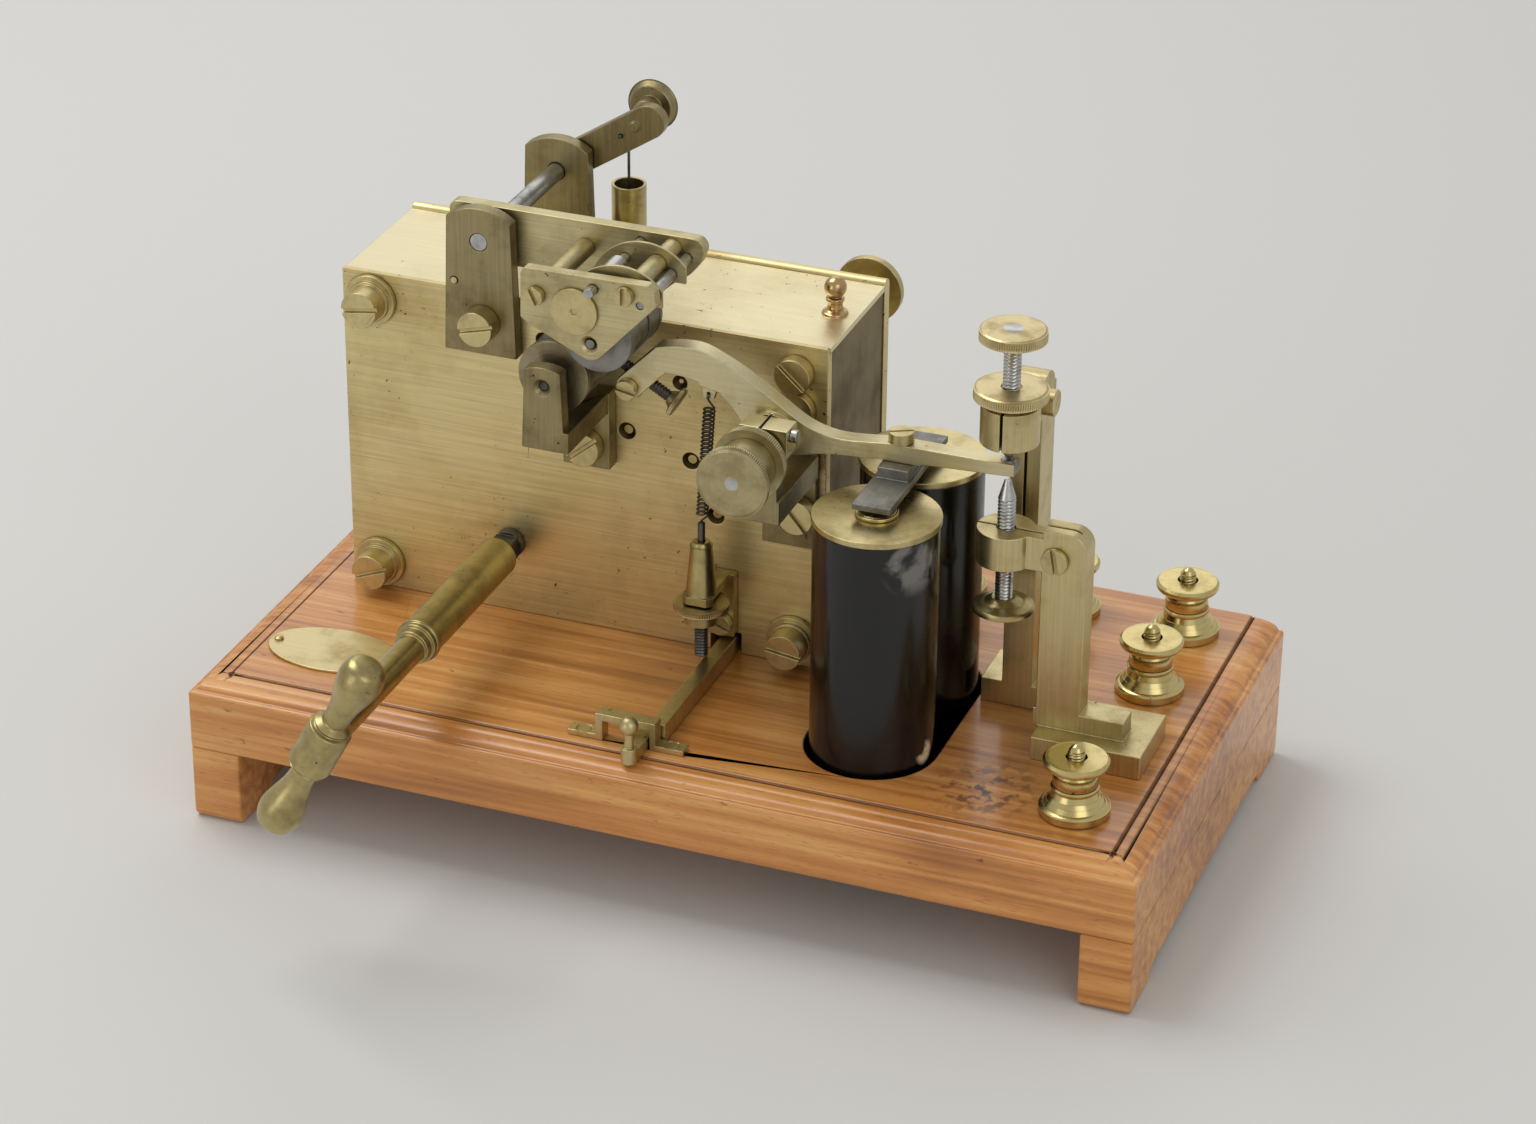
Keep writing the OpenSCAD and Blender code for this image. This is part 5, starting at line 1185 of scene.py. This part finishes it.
@dataclass
class WritingLever:
    """The lever with its stylus, armature, screws, bearing and stop."""

    stylus_angle: float = 150.2
    stylus_head: tuple[float, float] = (143.4, 148.3)
    stylus_length: float = 21.9

    def build(self) -> None:
        """Builds and dresses the lever's pieces."""
        eased("writing_lever", Finish.LEVER, Finish.ARMATURE, width=0.3, choose=self._anvil_end)
        eased("lever_arbor", Finish.STEEL, width=0.15)
        eased("armature", Finish.ARMATURE, width=0.3)
        eased("lever_screws", Finish.TURNED, Finish.STEEL, width=0.2, choose=self._steel_screw)
        eased("lever_bracket", Finish.BRACKET, width=0.35)
        eased("lever_rear_bearing", Finish.TURNED, width=0.25)
        eased("tension_bracket", Finish.KEY, width=0.25)
        eased("stop_lever", Finish.STAND, width=0.25)
        eased("lever_bridge", Finish.STAND, width=0.2)
        self.stylus()
        self.bearing()
        self.tension_nut()
        self.tension_rod()

    def _anvil_end(self, centre: Vector, normal: Vector) -> int:
        """Slot 1 for the lever's steel-grey end face."""
        return int(normal.x > 0.9 and centre.x > LEVER_PIVOT[0] + 78)

    def _steel_screw(self, centre: Vector, normal: Vector) -> int:
        """Slot 1 for the clamp's screw and the anvil, which are steel."""
        clamp = centre.y < 58 and centre.x > LEVER_PIVOT[0] + 3
        return int(clamp or centre.x > CONTACT[0] - 4)

    def stylus(self) -> None:
        """The slanting screw with its knurled head and point."""
        angle = math.radians(self.stylus_angle)
        axis = Vector((math.cos(angle), 0, math.sin(angle)))
        head = [
            Stretch(-2.0, -2.0, 0.4, 4.1, 2, 1),
            Stretch(-2.0, -1.7, 4.3, 4.7, 1, 1),
            rim(-1.7, -0.3, 4.95, 56, 0.25, 1),
            Stretch(-0.3, 0.0, 4.7, 4.3, 1, 1),
            Stretch(0.0, 1.8, 3.3, 2.2, 3, 1),
        ]
        shank = [
            thread(1.0, self.stylus_length - 2.2, 2.0, 1.1, 0.42),
            Stretch(self.stylus_length - 2.2, self.stylus_length, 1.7, 0.35, 3),
        ]
        origin = at(self.stylus_head[0], LEVER_Y, self.stylus_head[1])
        mesh = joined("stylus", [Turned(head, origin, axis, 224), Turned(shank, origin, axis, 32)])
        stand_for("stylus", "stylus_threaded", mesh, "lever", Finish.DARK_STEEL, Finish.KNURLED)

    def bearing(self) -> None:
        """The bearing screw: two knurled discs on a hub, with the pivot's end in its face."""
        x, z = LEVER_PIVOT
        front = 27.0
        back = 44.7
        profile = [
            Stretch(0.2, 0.0, 0.3, 2.2, 1, 1),
            Stretch(0.0, 0.1, 2.3, 2.5, 1, 0),
            Stretch(0.1, 0.0, 2.6, 10.6, 3, 0),
            Stretch(0.0, 0.35, 10.8, 11.35, 2, 0),
            rim(0.35, 2.65, 11.7, 96, 0.3, 0),
            Stretch(2.65, 3.0, 11.35, 10.8, 2, 0),
            Stretch(3.0, 3.02, 10.6, 9.0, 1, 0),
            Stretch(3.02, 14.4, 9.0, 9.0, 1, 0),
            Stretch(14.4, 14.5, 9.1, 10.9, 1, 0),
            rim(14.5, back - front, 11.7, 96, 0.3, 0),
            Stretch(back - front, back - front + 0.01, 11.0, 2.0, 2, 0),
            Stretch(back - front + 0.01, 47.9 - front, 2.0, 2.0, 1, 1),
        ]
        mesh = Turned(profile, at(x, front, z), Vector((0, 1, 0)), 384).mesh("bearing")
        faces = (Finish.BEARING_FACE, Finish.STEEL)
        stand_for("bearing_screw", "bearing_screw_knurled", mesh, "bearing", *faces)

    def tension_nut(self) -> None:
        """The thumb nut on the tension rod, with a rounded rim."""
        profile = [
            Stretch(0.0, 0.3, 4.9, 5.5, 2),
            Stretch(0.3, 4.4, 5.5, 5.3, 1),
            Stretch(4.4, 4.9, 6.2, 8.4, 2),
            Stretch(4.9, 5.4, 8.5, 9.05, 2),
            rim(5.4, 7.1, 9.15, 72, 0.2),
            Stretch(7.1, 7.5, 9.0, 8.3, 2),
            Stretch(7.5, 7.52, 8.2, 2.4, 2),
        ]
        origin = at(ROD_X, LEVER_Y, 70.5)
        mesh = Turned(profile, origin, UP, 288).mesh("tension_nut")
        stand_for("tension_nut", "tension_nut_knurled", mesh, "nut", Finish.KNURLED)

    def tension_rod(self) -> None:
        """The threaded rod with the pin that the spring hooks on."""
        profile = [
            Stretch(0.0, 0.4, 1.5, 2.2, 2),
            thread(0.4, 36.0, 2.3, 1.1, 0.42),
            Stretch(36.0, 36.3, 2.0, 1.2, 2),
            Stretch(36.3, 48.0, 1.2, 1.2, 1),
            Stretch(48.0, 48.6, 1.2, 0.6, 3),
        ]
        origin = at(ROD_X, LEVER_Y, 58.2)
        mesh = Turned(profile, origin, UP, 48).mesh("tension_rod")
        stand_for("tension_rod", "tension_rod_threaded", mesh, "rod", Finish.DARK_STEEL)


@dataclass
class Magnet:
    """The two coils, their cores and the yoke."""

    def build(self) -> None:
        """Dresses the magnet."""
        eased("coil_bobbins", Finish.CHEEK, width=0.25)
        eased("coil_windings", Finish.WRAP, width=0.6, segments=3)
        eased("magnet_cores", Finish.CHEEK, width=0.3)
        eased("magnet_yoke", Finish.IRON, width=0.4)


@dataclass
class Contacts:
    """The two contact screws with their holders and lock nut."""

    screw_radius: float = 2.9

    def build(self) -> None:
        """Builds and dresses the contacts."""
        eased("front_contact_stand", Finish.STAND, width=0.35)
        eased("rear_contact_post", Finish.STAND, width=0.3)
        low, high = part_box("upper_contact_screw")
        self.upper(low.z / MM, high.z / MM)
        low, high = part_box("lower_contact_screw")
        self.lower(low.z / MM, high.z / MM)
        low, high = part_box("contact_lock_nut")
        self.lock_nut(low.z / MM)

    def upper(self, tip: float, top: float) -> None:
        """The upper screw: knurled head with a steel core, and its thread.

        Args:
            tip: the height of its point.
            top: the height of its head's face.
        """
        tall = top - tip
        head = tall - 4.0
        r = self.screw_radius
        shank = [
            Stretch(0.0, 0.3, 0.6, 1.0, 1, 1),
            Stretch(0.3, 3.0, 1.0, r, 2, 1),
            thread(3.0, head + 1.0, r, 1.2, 0.5, 1),
        ]
        disc = [
            Stretch(head - 2.0, head - 1.9, 3.6, 3.8, 1, 0),
            Stretch(head - 1.9, head, 3.8, 6.8, 3, 0),
            Stretch(head, head, 7.0, 9.9, 1, 0),
            Stretch(head, head + 0.4, 9.9, 10.3, 1, 0),
            rim(head + 0.4, tall - 0.5, 10.6, 84, 0.34, 0),
            Stretch(tall - 0.5, tall - 0.1, 10.3, 9.8, 2, 0),
            Stretch(tall - 0.1, tall, 9.6, 8.5, 2, 0),
            Stretch(tall, tall, 8.0, 3.2, 2, 0),
            Stretch(tall - 0.05, tall - 0.05, 3.1, 0.3, 1, 1),
        ]
        self._place("upper_contact_screw", (shank, 40), (disc, 336), tip, "upper_contact",
                    (Finish.HEAD_FACE, Finish.THREAD))

    def lower(self, low: float, tip: float) -> None:
        """The lower screw: smooth dished knob, thread and long steel cone.

        Args:
            low: the height of the knob's underside.
            tip: the height of the point.
        """
        tall = tip - low
        r = self.screw_radius
        knob = [
            Stretch(0.0, 0.0, 0.3, 9.0, 2, 0),
            Stretch(0.0, 0.5, 9.2, 9.8, 2, 0),
            Stretch(0.5, 1.5, 9.9, 9.9, 1, 0),
            Stretch(1.5, 2.1, 9.9, 9.1, 3, 0),
            Stretch(2.1, 2.9, 9.0, 6.4, 3, 0),
            Stretch(2.9, 4.5, 6.2, 3.7, 4, 0),
            Stretch(4.5, 4.6, 3.6, 3.0, 1, 0),
        ]
        shank = [
            thread(3.0, tall - 6.3, r, 1.2, 0.5, 1),
            Stretch(tall - 6.3, tall, r - 0.1, 1.0, 3, 1),
        ]
        self._place("lower_contact_screw", (knob, 96), (shank, 40), low, "lower_contact",
                    (Finish.KEY, Finish.THREAD))

    def lock_nut(self, low: float) -> None:
        """The knurled lock nut on the upper boss.

        Args:
            low: the height of its underside.
        """
        bore = self.screw_radius + 0.06
        profile = [
            Stretch(0.0, 0.0, bore, 6.7, 1),
            Stretch(0.0, 1.5, 6.9, 6.9, 1),
            Stretch(1.5, 1.52, 7.2, 11.0, 1),
            Stretch(1.52, 1.9, 11.0, 11.4, 1),
            rim(1.9, 4.9, 11.7, 92, 0.34),
            Stretch(4.9, 5.4, 11.4, 10.7, 2),
            Stretch(5.4, 5.5, 10.4, 9.0, 2),
            Stretch(5.5, 5.5, 8.6, bore + 0.5, 2),
            Stretch(5.5, 5.1, bore + 0.4, bore, 1),
        ]
        self._place("contact_lock_nut", (profile, 368), None, low, "lock", (Finish.HEAD_FACE,))

    def _place(
        self,
        node: str,
        first: tuple[Sequence[Stretch], int],
        second: Optional[tuple[Sequence[Stretch], int]],
        low: float,
        body: str,
        finishes: tuple[Finish, ...],
    ) -> None:
        """Stands one or two turned solids for a node on the contacts' axis.

        Args:
            node: the node.
            first: the stretches of one solid and its sides.
            second: the same for another, or None.
            low: the height where the stretches start.
            body: the body it rides on.
            finishes: one finish for each slot.
        """
        origin = at(CONTACT[0], CONTACT[1], low)
        parts = [Turned(item[0], origin, UP, item[1]) for item in (first, second) if item]
        stand_for(node, node + "_turned", joined(node, parts), body, *finishes)
        log.info("%s: %d solids", node, len(parts))


def main() -> None:
    """Builds the studio and each sub-assembly in order."""
    logging.basicConfig(level=logging.INFO, format="%(name)s: %(message)s")
    frame["slots"] = {piece["node"]: piece["material_slot"] for piece in frame["record"]["subparts"]}
    studio = Studio()
    studio.camera()
    studio.build()
    for part in (Base(), Case(), Clockwork(), TapeFeed(), Springs(), WritingLever(), Magnet(), Contacts()):
        part.build()
        log.info("%s done", type(part).__name__)


if __name__ == "__main__":
    main()
